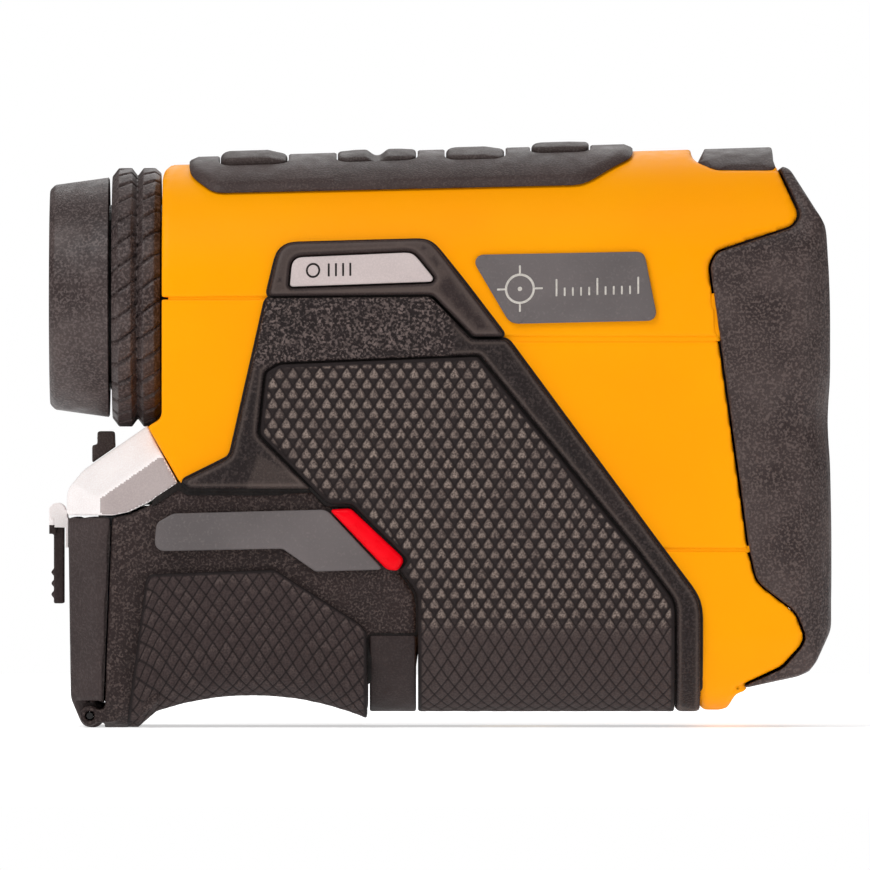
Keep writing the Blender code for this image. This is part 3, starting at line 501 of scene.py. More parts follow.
def outer_loops(node, skin, lift, tolerance=0.45, keep=None):
    """The edges, in x and v, of the face that a CAD node shows at lift over a skin."""
    points, triangles = cad_mesh(node)
    x, v, lifts = skin.find(points)
    near = np.abs(lifts - lift) < tolerance
    if keep is not None:
        near &= keep(points)
    links = {}
    for a, b, c in triangles[near[triangles].all(1)].tolist():
        for start, end in ((a, b), (b, c), (c, a)):
            if start in links.get(end, ()):
                links[end].remove(start)
            else:
                links.setdefault(start, []).append(end)
    loops = []
    while any(links.values()):
        loop = [next(key for key, ends in links.items() if ends)]
        while links.get(loop[-1]):
            loop.append(links[loop[-1]].pop())
            if loop[-1] == loop[0]:
                break
        loops.append(as_seen(np.array([(x[i], v[i]) for i in loop[:-1]]), skin))
    return [loop for loop in loops if len(loop) > 2]


def as_seen(loop, skin):
    """A loop with points added so that edges which are straight in the side view stay straight."""
    loop = tidy_loop(loop)
    if skin is not SADDLE:
        return loop
    sign = np.sign(loop[:, 1].mean())
    seen = even_loop(np.stack([loop[:, 0], skin.height(*loop.T)], 1), 0.6)
    return np.stack([seen[:, 0], sign * skin.side(seen[:, 1], seen[:, 0])], 1)


def tidy_loop(loop, least=0.02):
    """Drops points that lie on a straight run."""
    kept = list(loop)
    i = 0
    while i < len(kept) and len(kept) > 3:
        before, here, after = kept[i - 1], kept[i], kept[(i + 1) % len(kept)]
        chord = after - before
        off = abs(chord[0] * (here - before)[1] - chord[1] * (here - before)[0]) / (np.hypot(*chord) + 1e-9)
        if off < least:
            kept.pop(i)
            i = max(i - 1, 0)
        else:
            i += 1
    return np.array(kept)


def softened_loop(loop, reach=0.5, passes=3):
    """Cuts each corner a few times, by at most reach, so that short arcs become smooth."""
    for _ in range(passes):
        after = np.roll(loop, -1, 0)
        length = np.hypot(*(after - loop).T)[:, None]
        share = np.minimum(0.27, reach / np.maximum(length, 1e-6))
        loop = np.stack([loop + (after - loop) * share, after - (after - loop) * share], 1).reshape(-1, 2)
        reach *= 0.5
    return loop


def even_loop(loop, spacing):
    """The same loop with points no further apart than spacing and no closer than a fifth of it."""
    points = []
    for here, after in zip(loop, np.roll(loop, -1, 0)):
        length = np.hypot(*(after - here))
        if points and np.hypot(*(here - points[-1])) < spacing / 5:
            continue
        count = max(1, math.ceil(length / spacing))
        points += [here + (after - here) * k / count for k in range(count)]
    return np.array(points)


def edge_distance(points, loops):
    """Distance from each point to the nearest loop, and whether it lies inside them."""
    starts = np.concatenate(loops)
    way = np.concatenate([np.roll(loop, -1, 0) for loop in loops]) - starts
    ends = starts + way
    square = np.maximum((way ** 2).sum(1), 1e-12)
    rise = np.where(way[:, 1] == 0, 1e-12, way[:, 1])
    nearest = np.empty(len(points))
    inside = np.empty(len(points), bool)
    for k in range(0, len(points), 3000):
        u = points[k:k + 3000, 0, None] - starts[:, 0]
        v = points[k:k + 3000, 1, None] - starts[:, 1]
        share = np.clip((u * way[:, 0] + v * way[:, 1]) / square, 0, 1)
        gap = (u - share * way[:, 0]) ** 2 + (v - share * way[:, 1]) ** 2
        nearest[k:k + 3000] = np.sqrt(gap.min(1))
        crosses = (v < 0) != (points[k:k + 3000, 1, None] < ends[:, 1])
        inside[k:k + 3000] = (crosses & (u < v * way[:, 0] / rise)).sum(1) % 2 == 1
    return nearest, inside


def lattice(low, high, step_u, step_v):
    """Points of a staggered grid over a rectangle, aligned with the origin."""
    rows = np.arange(math.floor(low[1] / step_v), math.ceil(high[1] / step_v) + 1)
    columns = np.arange(math.floor(low[0] / step_u) - 1, math.ceil(high[0] / step_u) + 1)
    u, v = np.meshgrid(columns * step_u, rows * step_v)
    return np.stack([u + (rows % 2)[:, None] * step_u / 2, v], -1).reshape(-1, 2)


def filled(loops, rim, cell):
    """Triangles inside loops, from their own points, rings at the distances in rim, and a grid of cell.

    Returns points, faces that turn from u to v, each point's distance to the edge, and each loop's points.
    """
    border = np.concatenate(loops)
    chosen, gaps = [border], [np.zeros(len(border))]
    for distance in rim:
        ring = []
        for loop in loops:
            way = np.roll(loop, -1, 0) - np.roll(loop, 1, 0)
            way /= np.hypot(*way.T)[:, None] + 1e-9
            ring += [loop + np.stack([-way[:, 1], way[:, 0]], 1) * distance * sign for sign in (1, -1)]
        ring = np.concatenate(ring)
        gap, inside = edge_distance(ring, loops)
        fits = inside & (gap > distance * 0.97)
        chosen.append(ring[fits])
        gaps.append(gap[fits])
    grid = lattice(border.min(0), border.max(0), *cell)
    gap, inside = edge_distance(grid, loops)
    fits = inside & (gap > (rim[-1] if rim else 0) + 0.45 * min(cell))
    chosen.append(grid[fits])
    gaps.append(gap[fits])
    edges, first = [], 0
    for loop in loops:
        edges += [(first + i, first + (i + 1) % len(loop)) for i in range(len(loop))]
        first += len(loop)
    points, _, faces, origin, _, _ = delaunay_2d_cdt(np.concatenate(chosen).tolist(), edges, [], 0, 1e-7)
    points = np.array([tuple(point) for point in points])
    gaps = np.append(np.concatenate(gaps), 0.0)[[olds[0] if olds else -1 for olds in origin]]
    faces = np.array(faces)
    unsure = (gaps[faces] == 0).all(1)
    _, inside = edge_distance(points[faces[unsure]].mean(1), loops)
    kept = np.ones(len(faces), bool)
    kept[np.flatnonzero(unsure)[~inside]] = False
    place = np.full(first, -1)
    for new, olds in enumerate(origin):
        for old in olds:
            if old < first:
                place[old] = new
    ends = np.cumsum([0] + [len(loop) for loop in loops])
    return points, turned_up(faces[kept], points), gaps, [place[a:b] for a, b in zip(ends[:-1], ends[1:])]


def turned_up(faces, points):
    """The triangles, each running from u to v."""
    a, b, c = (points[faces[:, k]] for k in range(3))
    turn = (b[:, 0] - a[:, 0]) * (c[:, 1] - a[:, 1]) - (c[:, 0] - a[:, 0]) * (b[:, 1] - a[:, 1])
    faces[turn < 0] = faces[turn < 0][:, ::-1]
    return faces


def inside_on_left(loop, loops):
    """Whether the inside of loops lies to the left of one loop's direction."""
    way = loop[1] - loop[0]
    probe = (loop[0] + loop[1]) / 2 + np.array([-way[1], way[0]]) / np.hypot(*way) * 0.02
    return bool(edge_distance(probe[None], loops)[1][0])


def panel(name, loops, skin, look, lift, depth, edge=(0.6, 0.6), cell=(1.2, 1.0), relief=None, soften=0.5,
          spacing=0.45, nodes=(), body=None, sharp=50, chamfer=False):
    """A closed slab over a skin, rounded or chamfered at its rim over edge (width, height).

    relief(x, v, gap) gives the height to add to its face, and the values that the material reads.
    """
    loops = [even_loop(softened_loop(loop, soften), spacing) for loop in loops]
    width, height = edge
    rim = [0.25, width] if chamfer else [width * (1 - math.cos(math.radians(k))) for k in (25, 45, 65, 90)]
    flat, faces, gap, borders = filled(loops, rim, cell)
    share = np.clip(1 - gap / width, 0, 1)
    heights = lift - height * (1 - np.sqrt(1 - share ** 2))
    if chamfer:
        outer, _ = edge_distance(flat, [max(loops, key=len)])
        heights = lift - height * np.clip(1 - outer / width, 0, 1) - 0.15 * np.clip(1 - gap / 0.25, 0, 1)
    values = {}
    if relief:
        extra, values = relief(flat[:, 0], flat[:, 1], gap)
        heights = heights + extra
    top = skin.put(flat[:, 0], flat[:, 1], heights)
    under, under_faces, _, under_borders = filled(loops, [], (4.0, 3.0))
    below = skin.put(under[:, 0], under[:, 1], lift - depth)
    everything = faces.tolist() + (under_faces[:, ::-1] + len(top)).tolist()
    for upper, lower, loop in zip(borders, under_borders, loops):
        order = 1 if inside_on_left(loop, loops) else -1
        for i in range(len(upper)):
            j = (i + 1) % len(upper)
            everything.append((upper[j], upper[i], lower[i] + len(top), lower[j] + len(top))[::order])
    everything = [face[::skin.turn] for face in everything]
    values = {key: np.concatenate([numbers, np.zeros(len(below))]) for key, numbers in values.items()}
    return mesh_piece(name, np.concatenate([top, below]), everything, look, nodes, body, sharp, values)


# ---------------------------------------------------------------- turned, softened and plain pieces

def turned(name, profile, centre, look, nodes=(), body=None, along="X", steps=128, relief=None, sharp=35):
    """A closed profile of (place, radius) turned about an axis through centre; relief changes its radii."""
    profile = np.array(profile, float)
    turn = np.arange(steps) * math.tau / steps
    place = np.repeat(profile[:, :1], steps, 1)
    radius = np.repeat(profile[:, 1:], steps, 1)
    if relief:
        radius = np.where(radius > 0, radius + relief(place, radius, turn[None, :]), 0)
    first, second = radius * np.cos(turn), radius * np.sin(turn)
    columns = [place, first + centre[1], second + centre[2]]
    if along == "Z":
        columns = [first + centre[0], second + centre[1], place]
    points = np.stack(columns, -1).reshape(-1, 3)
    faces = []
    for i in range(len(profile)):
        j = (i + 1) % len(profile)
        if profile[i, 1] == 0 and profile[j, 1] == 0:
            continue
        for k in range(steps):
            m = (k + 1) % steps
            faces.append((i * steps + k, i * steps + m, j * steps + m, j * steps + k))
    return tidied(mesh_piece(name, points, faces, look, nodes, body, sharp), sharp)


def tidied(obj, sharp):
    """Merges doubles, such as a turned profile's points on the axis, and turns the faces outwards."""
    mesh = bmesh.new()
    mesh.from_mesh(obj.data)
    bmesh.ops.remove_doubles(mesh, verts=mesh.verts, dist=0.002 * MM)
    bmesh.ops.recalc_face_normals(mesh, faces=mesh.faces)
    mesh.to_mesh(obj.data)
    mesh.free()
    obj.data.shade_smooth()
    obj.data.set_sharp_from_angle(angle=math.radians(sharp))
    return obj


def even_copy(node, look, voxel=0.4, ease=3, shift=None):
    """A copy of a CAD node as an even mesh with softened edges; shift(points, normals) moves its points."""
    points, triangles = cad_mesh(node)
    obj = mesh_piece(f"{node}_form", points, triangles, look, (node,))
    grid = obj.modifiers.new("even", "REMESH")
    grid.mode = "VOXEL"
    grid.voxel_size = voxel * MM
    smooth = obj.modifiers.new("ease", "SMOOTH")
    smooth.factor = 0.5
    smooth.iterations = ease
    bpy.context.view_layer.update()
    made = bpy.data.meshes.new_from_object(obj.evaluated_get(bpy.context.evaluated_depsgraph_get()))
    obj.modifiers.clear()
    obj.data = made
    made.materials.clear()
    made.materials.append(LOOK[look])
    if shift:
        count = len(made.vertices) * 3
        places, normals = np.empty(count), np.empty(count)
        made.vertices.foreach_get("co", places)
        made.vertices.foreach_get("normal", normals)
        moved = shift(places.reshape(-1, 3) / MM, normals.reshape(-1, 3))
        made.vertices.foreach_set("co", (moved * MM).ravel())
        made.update()
    made.shade_smooth()
    return obj


def second_look(obj, look, test):
    """Gives a piece's faces for which test(centres, normals) holds a second material."""
    mesh = obj.data
    mesh.materials.append(LOOK[look])
    count = len(mesh.polygons)
    centres, normals = np.empty(count * 3), np.empty(count * 3)
    mesh.polygons.foreach_get("center", centres)
    mesh.polygons.foreach_get("normal", normals)
    chosen = test(centres.reshape(-1, 3) / MM, normals.reshape(-1, 3))
    mesh.polygons.foreach_set("material_index", chosen.astype(np.int32))
    mesh.update()


def onto(skin, lift=0.0):
    """A shift that moves the points on a CAD wall's facets out to the true curve of a skin."""
    def shift(points, normals):
        x, v, height = skin.find(points)
        outward = skin.put(x, v, height + 1) - skin.put(x, v, height)
        near = (np.abs(height - lift) < 0.3) & ((outward * normals).sum(1) > 0.985)
        moved = points.copy()
        moved[near] = skin.put(x, v, lift + 0 * x)[near]
        return moved
    return shift


def bevelled(node, look, width=0.35, segments=3, angle=30):
    """A copy of a CAD node with its flat faces made whole and its edges rounded over width."""
    points, triangles = cad_mesh(node)
    obj = mesh_piece(f"{node}_form", points, triangles, look, (node,))
    mesh = bmesh.new()
    mesh.from_mesh(obj.data)
    bmesh.ops.dissolve_limit(mesh, angle_limit=math.radians(1.0), verts=mesh.verts, edges=mesh.edges)
    mesh.to_mesh(obj.data)
    mesh.free()
    obj.data.shade_smooth()
    edges = obj.modifiers.new("edges", "BEVEL")
    edges.width = width * MM
    edges.segments = segments
    edges.limit_method = "ANGLE"
    edges.angle_limit = math.radians(angle)
    edges.harden_normals = True
    return obj


def repaint(look, *nodes):
    """CAD nodes that stay as they are, with a better material."""
    for node in nodes:
        obj = frame["nodes"][node]
        obj.data.materials.clear()
        obj.data.materials.append(LOOK[look])


# ---------------------------------------------------------------- reliefs

PITCH = 2.06
ROW = 1.53
REAR_PITCH = 2.04
REAR_ROW = 1.45
SCALE_AT = (-43 * PITCH / 8, KEEL.side(40.06) // (ROW / 4) * (ROW / 4))
LEVEL_OUT = 16.0


def scatter(a, b, salt=0.0):
    """An even random number from 0 to 1 for each cell, the same on each run."""
    mixed = np.sin(a * 12.9898 + b * 78.233 + salt * 37.719) * 43758.5453
    return mixed - np.floor(mixed)


def knurl(x, along, pitch=PITCH, row=ROW):
    """Diamond cells of a crossed lattice: each point's distance in from its groove, its cell, and how
    far up its cell it is."""
    a = x / pitch + along / (2 * row)
    b = x / pitch - along / (2 * row)
    cell_a, cell_b = np.round(a), np.round(b)
    off_a, off_b = a - cell_a, b - cell_b
    return 0.5 - np.maximum(np.abs(off_a), np.abs(off_b)), cell_a, cell_b, off_a - off_b


def eased(value, low, high):
    """0 below low and 1 above high, with a smooth step between."""
    share = np.clip((value - low) / (high - low), 0, 1)
    return share * share * (3 - 2 * share)


def scales(x, v, gap):
    """Raised scales, each a blunt pyramid on a diamond, that level out into a flat lattice near the keel;
    the upper facets of each scale carry a painted highlight.
    """
    along = np.abs(v) - SCALE_AT[1]
    edge, cell_a, cell_b, up = knurl(x - SCALE_AT[0], along)
    across = np.abs(2 * (x - SCALE_AT[0]) / PITCH - cell_a - cell_b)
    lot, notch = scatter(cell_a, cell_b, np.sign(v)), scatter(cell_b, cell_a, 2 + np.sign(v))
    tall = eased(np.abs(v) - KEEL.side(0), LEVEL_OUT - 2.5, LEVEL_OUT + 1.5)
    pyramid = (0.28 + 0.14 * lot) * (1 - (1 - np.clip(edge / 0.40, 0, 1)) ** 1.6)
    flat = (0.13 + 0.04 * lot) * np.clip(edge / 0.08, 0, 1)
    border = eased(gap, 0.40, 0.75)
    foot = -0.24 + 0.30 * notch ** 2 * np.exp(-(across / 0.12) ** 2)
    # painted highlight: the lit upper facets of each scale, notched at the foot of some
    lit = eased(0.90 - across - up, 0.0, 0.20) * eased(up - foot, -0.05, 0.16)
    lit = lit * eased(0.72 - across, 0.0, 0.22)
    shade = border * tall * lit * (0.40 + 0.60 * lot)
    # the relief value mixes the groove edges with the painted highlight
    painted_lit_tops = 0.16 * eased(edge, 0.02, 0.08) + 0.84 * lit
    seen = border * (tall * painted_lit_tops + (1 - tall) * 0.9 * eased(edge, 0.02, 0.07))
    raised = border * (tall * pyramid + (1 - tall) * flat)
    return raised - (0.36 * tall + 0.16 * (1 - tall)) * border, {"relief": seen, "shade": shade}


def diamonds(x, v, gap):
    """Flat diamonds between narrow crossed grooves; the upper half of each is paler by a random amount, a
    painted highlight, more strongly near the pad's edge high on the handle.
    """
    edge, cell_a, cell_b, up = knurl(x, np.abs(v), REAR_PITCH, REAR_ROW)
    lot = scatter(cell_a, cell_b, np.sign(v))
    border = eased(gap, 0.30, 0.60)
    dome = 0.05 * np.clip(edge / 0.4, 0, 1)
    raised = border * ((0.15 + 0.05 * lot) * np.clip(edge / 0.07, 0, 1) + dome)
    # where the painted highlight grows stronger: near the pad's edge, high on the handle
    painted_lit_tops = 0.9 * eased(-gap, -2.2, -0.6) * eased(SADDLE.height(x, v), 15, 20)
    # painted highlight on the upper half of each diamond
    shade = np.clip(border * (0.1 + (0.5 + painted_lit_tops) * lot * eased(up, -0.4, 0.4)), 0, 1)
    return raised - 0.20 * border, {"relief": border * eased(edge, 0.01, 0.09), "shade": shade}


def ring_grooves(place, radius, turn):
    """32 slanted grooves round each of the diopter ring's two bands, half a step apart."""
    low, high = span("diopter_ring")
    first = place < (low.x + high.x) / 2 + 0.15
    outer = radius > high.z - AXIS.z - 1.6
    phase = turn * 32 / math.tau + (place - low.x) * 0.19 + np.where(first, 0, 0.45)
    off = np.abs(phase - np.round(phase)) * math.tau * radius / 32
    return -0.55 * outer * (1 - eased(off, 0.12, 0.34))


# ---------------------------------------------------------------- housing

REAR = span("top_shell")[0].x


def shells():
    """Three yellow mouldings with softened edges, and strips behind their seams: yellow ones at the side
    seams, and a dark one at the nose that is painted shade.
    """
    even_copy("top_shell", "yellow", 0.5, 3, onto(CROWN))
    even_copy("middle_shell", "yellow", 0.5, 3, onto(KEEL))
    even_copy("base_shell", "yellow", 0.5, 3, onto(TOE))
    shaded_seam_strip("upper_seal", "top_shell", KEEL, lambda x, z: (z < AXIS.z + 1.0) & (x > REAR + 0.5) & (x < 52),
              -0.22, look="yellow")
    shaded_seam_strip("lower_seal", "middle_shell", KEEL, lambda x, z: (z < LASER.z) & (x > 0) & (x < 52), -0.22,
              look="yellow")
    # a dark strip under the nose seam: painted shade
    shaded_seam_strip("nose_shade_strip", "top_shell", CROWN, lambda x, z: (x > 43) & (z > 68) & (z < 80), -0.8, inward=7.0)


def shaded_seam_strip(name, node, skin, test, lift, half=0.6, look="painted_shade_and_ink", inward=1.2, face=0.0, tolerance=1.0):
    """A strip behind the run of a node's edge, on each side, for which test(x, z) holds; with the dark
    default look it is painted shade seen through the seam.
    """
    for word, side in SIDES:
        on_side = lambda points, side=side: points[:, 1] * side > HALF - inward
        loop = max(outer_loops(node, skin, face, tolerance, on_side), key=len)
        path = longest_run(even_loop(loop, 1.0), skin, test)
        panel(f"{name}_{word}", [ribbon(path, half)], skin, look, lift, 0.5, (0.1, 0.1), (3.0, 3.0),
              soften=0.2, spacing=1.0, body=BODY)


def longest_run(loop, skin, test):
    """The longest run of a loop's points that pass test(x, z)."""
    passes = test(loop[:, 0], skin.put(loop[:, 0], loop[:, 1], 0.0)[:, 2])
    first = int(np.argmin(passes))
    loop, passes = np.roll(loop, -first, 0), np.roll(passes, -first)
    runs, run = [], []
    for point, good in zip(loop, passes):
        if good:
            run.append(point)
        elif run:
            runs.append(run)
            run = []
    runs.append(run)
    return np.array(max(runs, key=len))


def ribbon(path, half):
    """A closed outline that runs half a width to each side of a path."""
    way = np.gradient(path, axis=0)
    way /= np.hypot(*way.T)[:, None]
    out = np.stack([-way[:, 1], way[:, 0]], 1) * half
    return np.concatenate([path + out, (path - out)[::-1]])


def panel_border(x, v, gap):
    """A raised rim round a smooth panel, with a shallow step inside it and a paler band along its bevel: a
    painted highlight.
    """
    # painted highlight along the bevel
    bevel = eased(gap, 0.25, 0.5) * (1 - eased(gap, 0.75, 1.15))
    return -0.12 * eased(gap, 0.9, 1.25), {"relief": 0.5 + 0 * x, "shade": 0.45 * bevel}


SUNK_TIP = (-27.8, 42.2)
SUNK_FOOT = (-29.3, 37.9)
SUNK_END = (-20.9, 37.9)


def frame_face(x, v, gap):
    """The grip frame's face: a fine groove inside its rear edge, and a sunk triangle by the pad's corner."""
    height = KEEL.height(x, v)
    rear = eased(-x, 24.0, 27.0) * eased(height, 41.0, 44.0)
    groove = 0.16 * rear * (1 - eased(np.abs(gap - 1.55), 0.10, 0.28))
    tip, foot, end = SUNK_TIP, SUNK_FOOT, SUNK_END
    left = (x - foot[0]) * (tip[1] - foot[1]) - (height - foot[1]) * (tip[0] - foot[0])
    right = (end[0] - x) * (tip[1] - end[1]) - (height - end[1]) * (end[0] - tip[0])
    sunk = np.clip(np.minimum(left / math.dist(tip, foot), right / math.dist(tip, end)) / 0.35, 0, 1)
    slope = 0.10 + 0.14 * np.clip((tip[1] - height) / (tip[1] - foot[1]), 0, 1)
    wide = eased(np.minimum(height - 54.5, 3.0 - x), 0.0, 2.0)
    # painted highlight along the bevel where the grain is fine, and on the sunk triangle's face
    bevel = eased(gap, 0.2, 0.45) * (1 - eased(gap, 0.6, 1.0))
    values = {"relief": 0.22 + 0.78 * wide, "shade": 0.38 * bevel * (1 - wide) + 0.25 * sunk}
    return -groove - sunk * slope * eased(height, foot[1] - 0.3, foot[1]), values


TRIM_LIFT = 0.9
STRIPE_LIFT = 1.1
CREASE_LEVEL = 28.75


def proud(node, side):
    """How far a node of one side stands out from the wall."""
    low, high = span(node)
    return (high.y if side > 0 else -low.y) - HALF


def cover(node, ending, skin, look, face, depth, edge, tolerance=0.45, rise=0.0, **more):
    """A panel over the face that a node shows at face over a skin, raised by rise."""
    panel(f"{node}_{ending}", outer_loops(node, skin, face, tolerance), skin, look, face + rise, depth, edge,
          nodes=(node,), **more)


def skins():
    """Side panels, plates and frames, each over the wall that its CAD node lies on."""
    for word, side in SIDES:
        cover(f"upper_panel_{word}", "cover", CROWN, "panel", PANEL_LIFT, 1.0, (0.9, 0.5), cell=(0.8, 0.8),
              relief=panel_border)
        cover(f"nameplate_{word}", "plate", CROWN, "nameplate", PANEL_LIFT, 0.9, (0.3, 0.2), rise=-0.1,
              soften=0.35)
        badge = f"badge_{word}"
        cover(badge, "plate", CROWN, "grey", proud(badge, side), 0.45, (0.35, 0.2), 0.2, soften=0.15)
        cover(f"grip_frame_{word}", "rim", KEEL, "frame", PANEL_LIFT, 1.0, (0.9, 0.5), cell=(0.45, 0.45),
              relief=frame_face, soften=0.25)
        cover(f"trim_plate_{word}", "cover", KEEL, "grey", TRIM_LIFT, 0.6, (0.4, 0.25), 0.2,
              cell=(0.5, 0.2), relief=trim_face)
        cover(f"accent_stripe_{word}", "insert", KEEL, "red", STRIPE_LIFT, 0.9, (1.1, 0.7), 0.2, rise=0.15,
              cell=(0.5, 0.5), soften=0.35, spacing=0.3)


def trim_face(x, v, gap):
    """The trim plate's upper field stands a little proud, down to a crease."""
    return -0.20 * (1 - eased(KEEL.height(x, v), CREASE_LEVEL - 0.1, CREASE_LEVEL + 0.1)), {}


def circle(x, v, radius, steps=40):
    turn = np.arange(steps) * math.tau / steps
    return np.stack([x + radius * np.cos(turn), v + radius * np.sin(turn)], 1)


def bar(x, v, wide, tall):
    """A rectangle about x, v."""
    ends = ((-1, -1), (1, -1), (1, 1), (-1, 1))
    return np.array([(x + a * wide / 2, v + b * tall / 2) for a, b in ends])


def printed(name, loops, look, face):
    """A thin layer of ink over a plate whose face is at face."""
    panel(name, loops, CROWN, look, face + 0.03, 0.08, (0.05, 0.02), (3, 3), soften=0.03, spacing=0.35,
          body=BODY)


def marks():
    """Plain printed marks: a crosshair and a scale on each badge, a ring and ticks on each nameplate."""
    for word, side in SIDES:
        badge, plate = middle(f"badge_{word}"), middle(f"nameplate_{word}")
        x, v = badge.x - 7.0, side * CROWN.side(badge.z, badge.x)
        loops = [circle(x, v, 2.3), circle(x, v, 1.95), circle(x, v, 0.35, 12)]
        loops += [bar(x + 2.9 * a, v + 2.9 * b, 0.3 + 0.9 * abs(a), 0.3 + 0.9 * abs(b))
                  for a, b in ((1, 0), (-1, 0), (0, 1), (0, -1))]
        for k in range(11):
            tall = 2.6 if k % 5 == 0 else 1.3
            foot = badge.z - 1.5
            loops.append(bar(x + 5.6 + 1.25 * k, side * CROWN.side(foot + tall / 2, x), 0.28, tall))
        printed(f"badge_marks_{word}", loops, "white_ink", proud(f"badge_{word}", side))
        x, v = plate.x - 7.4, side * CROWN.side(plate.z - 0.1, plate.x)
        loops = [circle(x, v, 1.1), circle(x, v, 0.8)]
        loops += [bar(x + 2.4 + 1.1 * k, v, 0.3, 1.9) for k in range(4)]
        printed(f"nameplate_marks_{word}", loops, "painted_shade_and_ink", PANEL_LIFT - 0.1)


REAR_LIFT = 1.1


def rear_pad_loops():
    """The rear pad's outline: its side edges, carried on straight under the handle to the other side."""
    (side,) = outer_loops("rear_grip_pad", SADDLE, REAR_LIFT, 0.3, lambda points: points[:, 1] < -HALF - 1.0)
    height = SADDLE.height(*side.T)
    low, high = span("rear_grip_pad")
    floor = 14.9
    sloping = (height > floor) & (height < 22) & (side[:, 0] < low.x + 4)
    line = np.polyfit(height[sloping], side[sloping, 0], 1)
    front = np.linspace(0.0, SADDLE.side(floor, high.x), 12)
    rear = np.linspace(SADDLE.side(floor, np.polyval(line, floor)), 0.0, 12)
    rear_x = np.polyval(line, SADDLE.put(low.x, rear, REAR_LIFT)[:, 2])
    upper = side[height > floor]
    order = np.argsort(np.arctan2(height[height > floor] - floor, upper[:, 0] - (low.x + high.x) / 2))
    front_edge, rear_edge = np.stack([high.x + 0 * front, -front], 1), np.stack([rear_x, -rear], 1)
    right = np.concatenate([front_edge, upper[order], rear_edge])
    return [np.concatenate([right, (right * [1, -1])[::-1]])]


def grips():
    """Rubber grips and the smooth band between them."""
    cover("grip_pad", "scales", KEEL, "scales", PANEL_LIFT, 0.95, (0.45, 0.35), cell=(PITCH / 8, ROW / 8),
          relief=scales, spacing=0.3, sharp=180)
    panel("rear_grip_pad_diamonds", rear_pad_loops(), SADDLE, "diamonds", REAR_LIFT, 0.75, (0.4, 0.3),
          (REAR_PITCH / 8, REAR_ROW / 8), diamonds, spacing=0.3, nodes=("rear_grip_pad",), sharp=180)
    cover("grip_band", "strap", BAND, "band", 0.0, 1.9, (0.35, 0.3), cell=(0.8, 0.8), soften=0.25)
    even_copy("battery_housing", "housing", 0.45, 3)
    # a dark strip behind the handle's seams: painted shade
    shaded_seam_strip("handle_shade_strip", "battery_housing", SADDLE,
              lambda x, z: ((z > 30.0) & (x > -44.0)) | ((x > -18.0) & (z > 3.5)), -0.5)
    # a dark sheet under the band: painted shade in the gaps beside it
    low, high = span("grip_band")
    reach = BAND.side(high.z)
    corners = [(low.x - 0.7, -reach), (high.x + 0.7, -reach), (high.x + 0.7, reach), (low.x - 0.7, reach)]
    panel("grip_band_shade_sheet", [np.array(corners)], BAND, "painted_shade_and_ink", -0.45, 0.6, (0.1, 0.1), (3.0, 2.0),
          soften=0.1, spacing=1.5, body=BODY)


def liners():
    """Dark film under the side panels and frames, which shows in the gaps round them as painted shade."""
    for word, _ in SIDES:
        for node, skin in ((f"upper_panel_{word}", CROWN), (f"grip_frame_{word}", KEEL)):
            loop = max(outer_loops(node, skin, PANEL_LIFT), key=lambda edge: np.ptp(edge[:, 0]))
            panel(f"{node}_film", [grown(softened_loop(loop), 0.42)], skin, "painted_shade_and_ink", 0.24, 0.14, (0.05, 0.05),
                  (2.0, 2.0), spacing=0.8, body=BODY)


def corner_films():
    """Dark film along the grip pad's rear edge, as painted shade where the wall would show between the pad
    and the handle.
    """
    shaded_seam_strip("pad_shade_strip", "grip_pad", KEEL, lambda x, z: (x < -4.0) & (z > 22.0) & (z < 41.0), 0.2, 0.5,
              face=PANEL_LIFT, tolerance=0.3)


def grown(loop, distance):
    """A loop moved outwards by distance."""
    way = np.roll(loop, -1, 0) - np.roll(loop, 1, 0)
    way /= np.hypot(*way.T)[:, None] + 1e-9
    sign = 1 if inside_on_left(loop, [loop]) else -1
    return loop + np.stack([way[:, 1], -way[:, 0]], 1) * distance * sign


def swell(points, normals):
    """The bumper's soft form: full round each lens, drawn in between them and toward the ends."""
    x, y, z = points.T
    side = eased(np.abs(y), 14.0, 20.0)
    upper = np.exp(-((z - AXIS.z) / 12.5) ** 2)
    lower = np.exp(-((z - LASER.z + 2.0) / 12.0) ** 2)
    waist = np.exp(-((z - (AXIS.z + LASER.z) / 2) / 4.5) ** 2)
    front = eased(x, 45.0, 54.0)
    push = side * front * (0.50 * upper + 0.45 * lower - 0.75 * waist - 0.25)
    moved = points + normals * push[:, None]
    moved[:, 0] = np.minimum(moved[:, 0], span("front_bumper")[1].x)
    return moved


def nose():
    """Rubber bumper and the plate behind its mouth."""
    even_copy("front_bumper", "bumper", 0.45, 6, swell)
    bevelled("front_plate", "panel", 0.3)


def rear_end():
    """Silver slope, battery door, latch and strap lug."""
    bezel = even_copy("rear_bezel", "silver", 0.28, 3)
    # the upright flanks take the darker silver copy: painted shade
    flank = span("rear_bezel")[1].y - 0.1
    second_look(bezel, "silver_shaded_side", lambda centres, normals: np.abs(centres[:, 1]) > flank)
    even_copy("battery_door", "door", 0.38, 3)
    even_copy("strap_lug", "key", 0.16, 2)
    bevelled("latch_plate", "silver", 0.15)
    lever = even_copy("latch_lever", "silver", 0.16, 2)
    second_look(lever, "band", lambda centres, normals: centres[:, 2] < span("latch_plate")[1].z - 3.4)
    repaint("ring", "door_gasket", "eyepiece_seal")
    repaint("dark_metal", "hinge_pin")
    repaint("steel", "spring_strip")


# ---------------------------------------------------------------- keypad

def key_crown(node, lean_front=0.0, lean_rear=0.0):
    """A key's top: it falls away over its front and rear ends."""
    low, high = span(node)

    def relief(x, v, gap):
        front = np.clip((x - (high.x - 3.0)) / 3.0, 0, 1)
        rear = np.clip((low.x + 1.6 - x) / 1.6, 0, 1)
        return -lean_front * front - lean_rear * rear ** 2, {}
    return relief


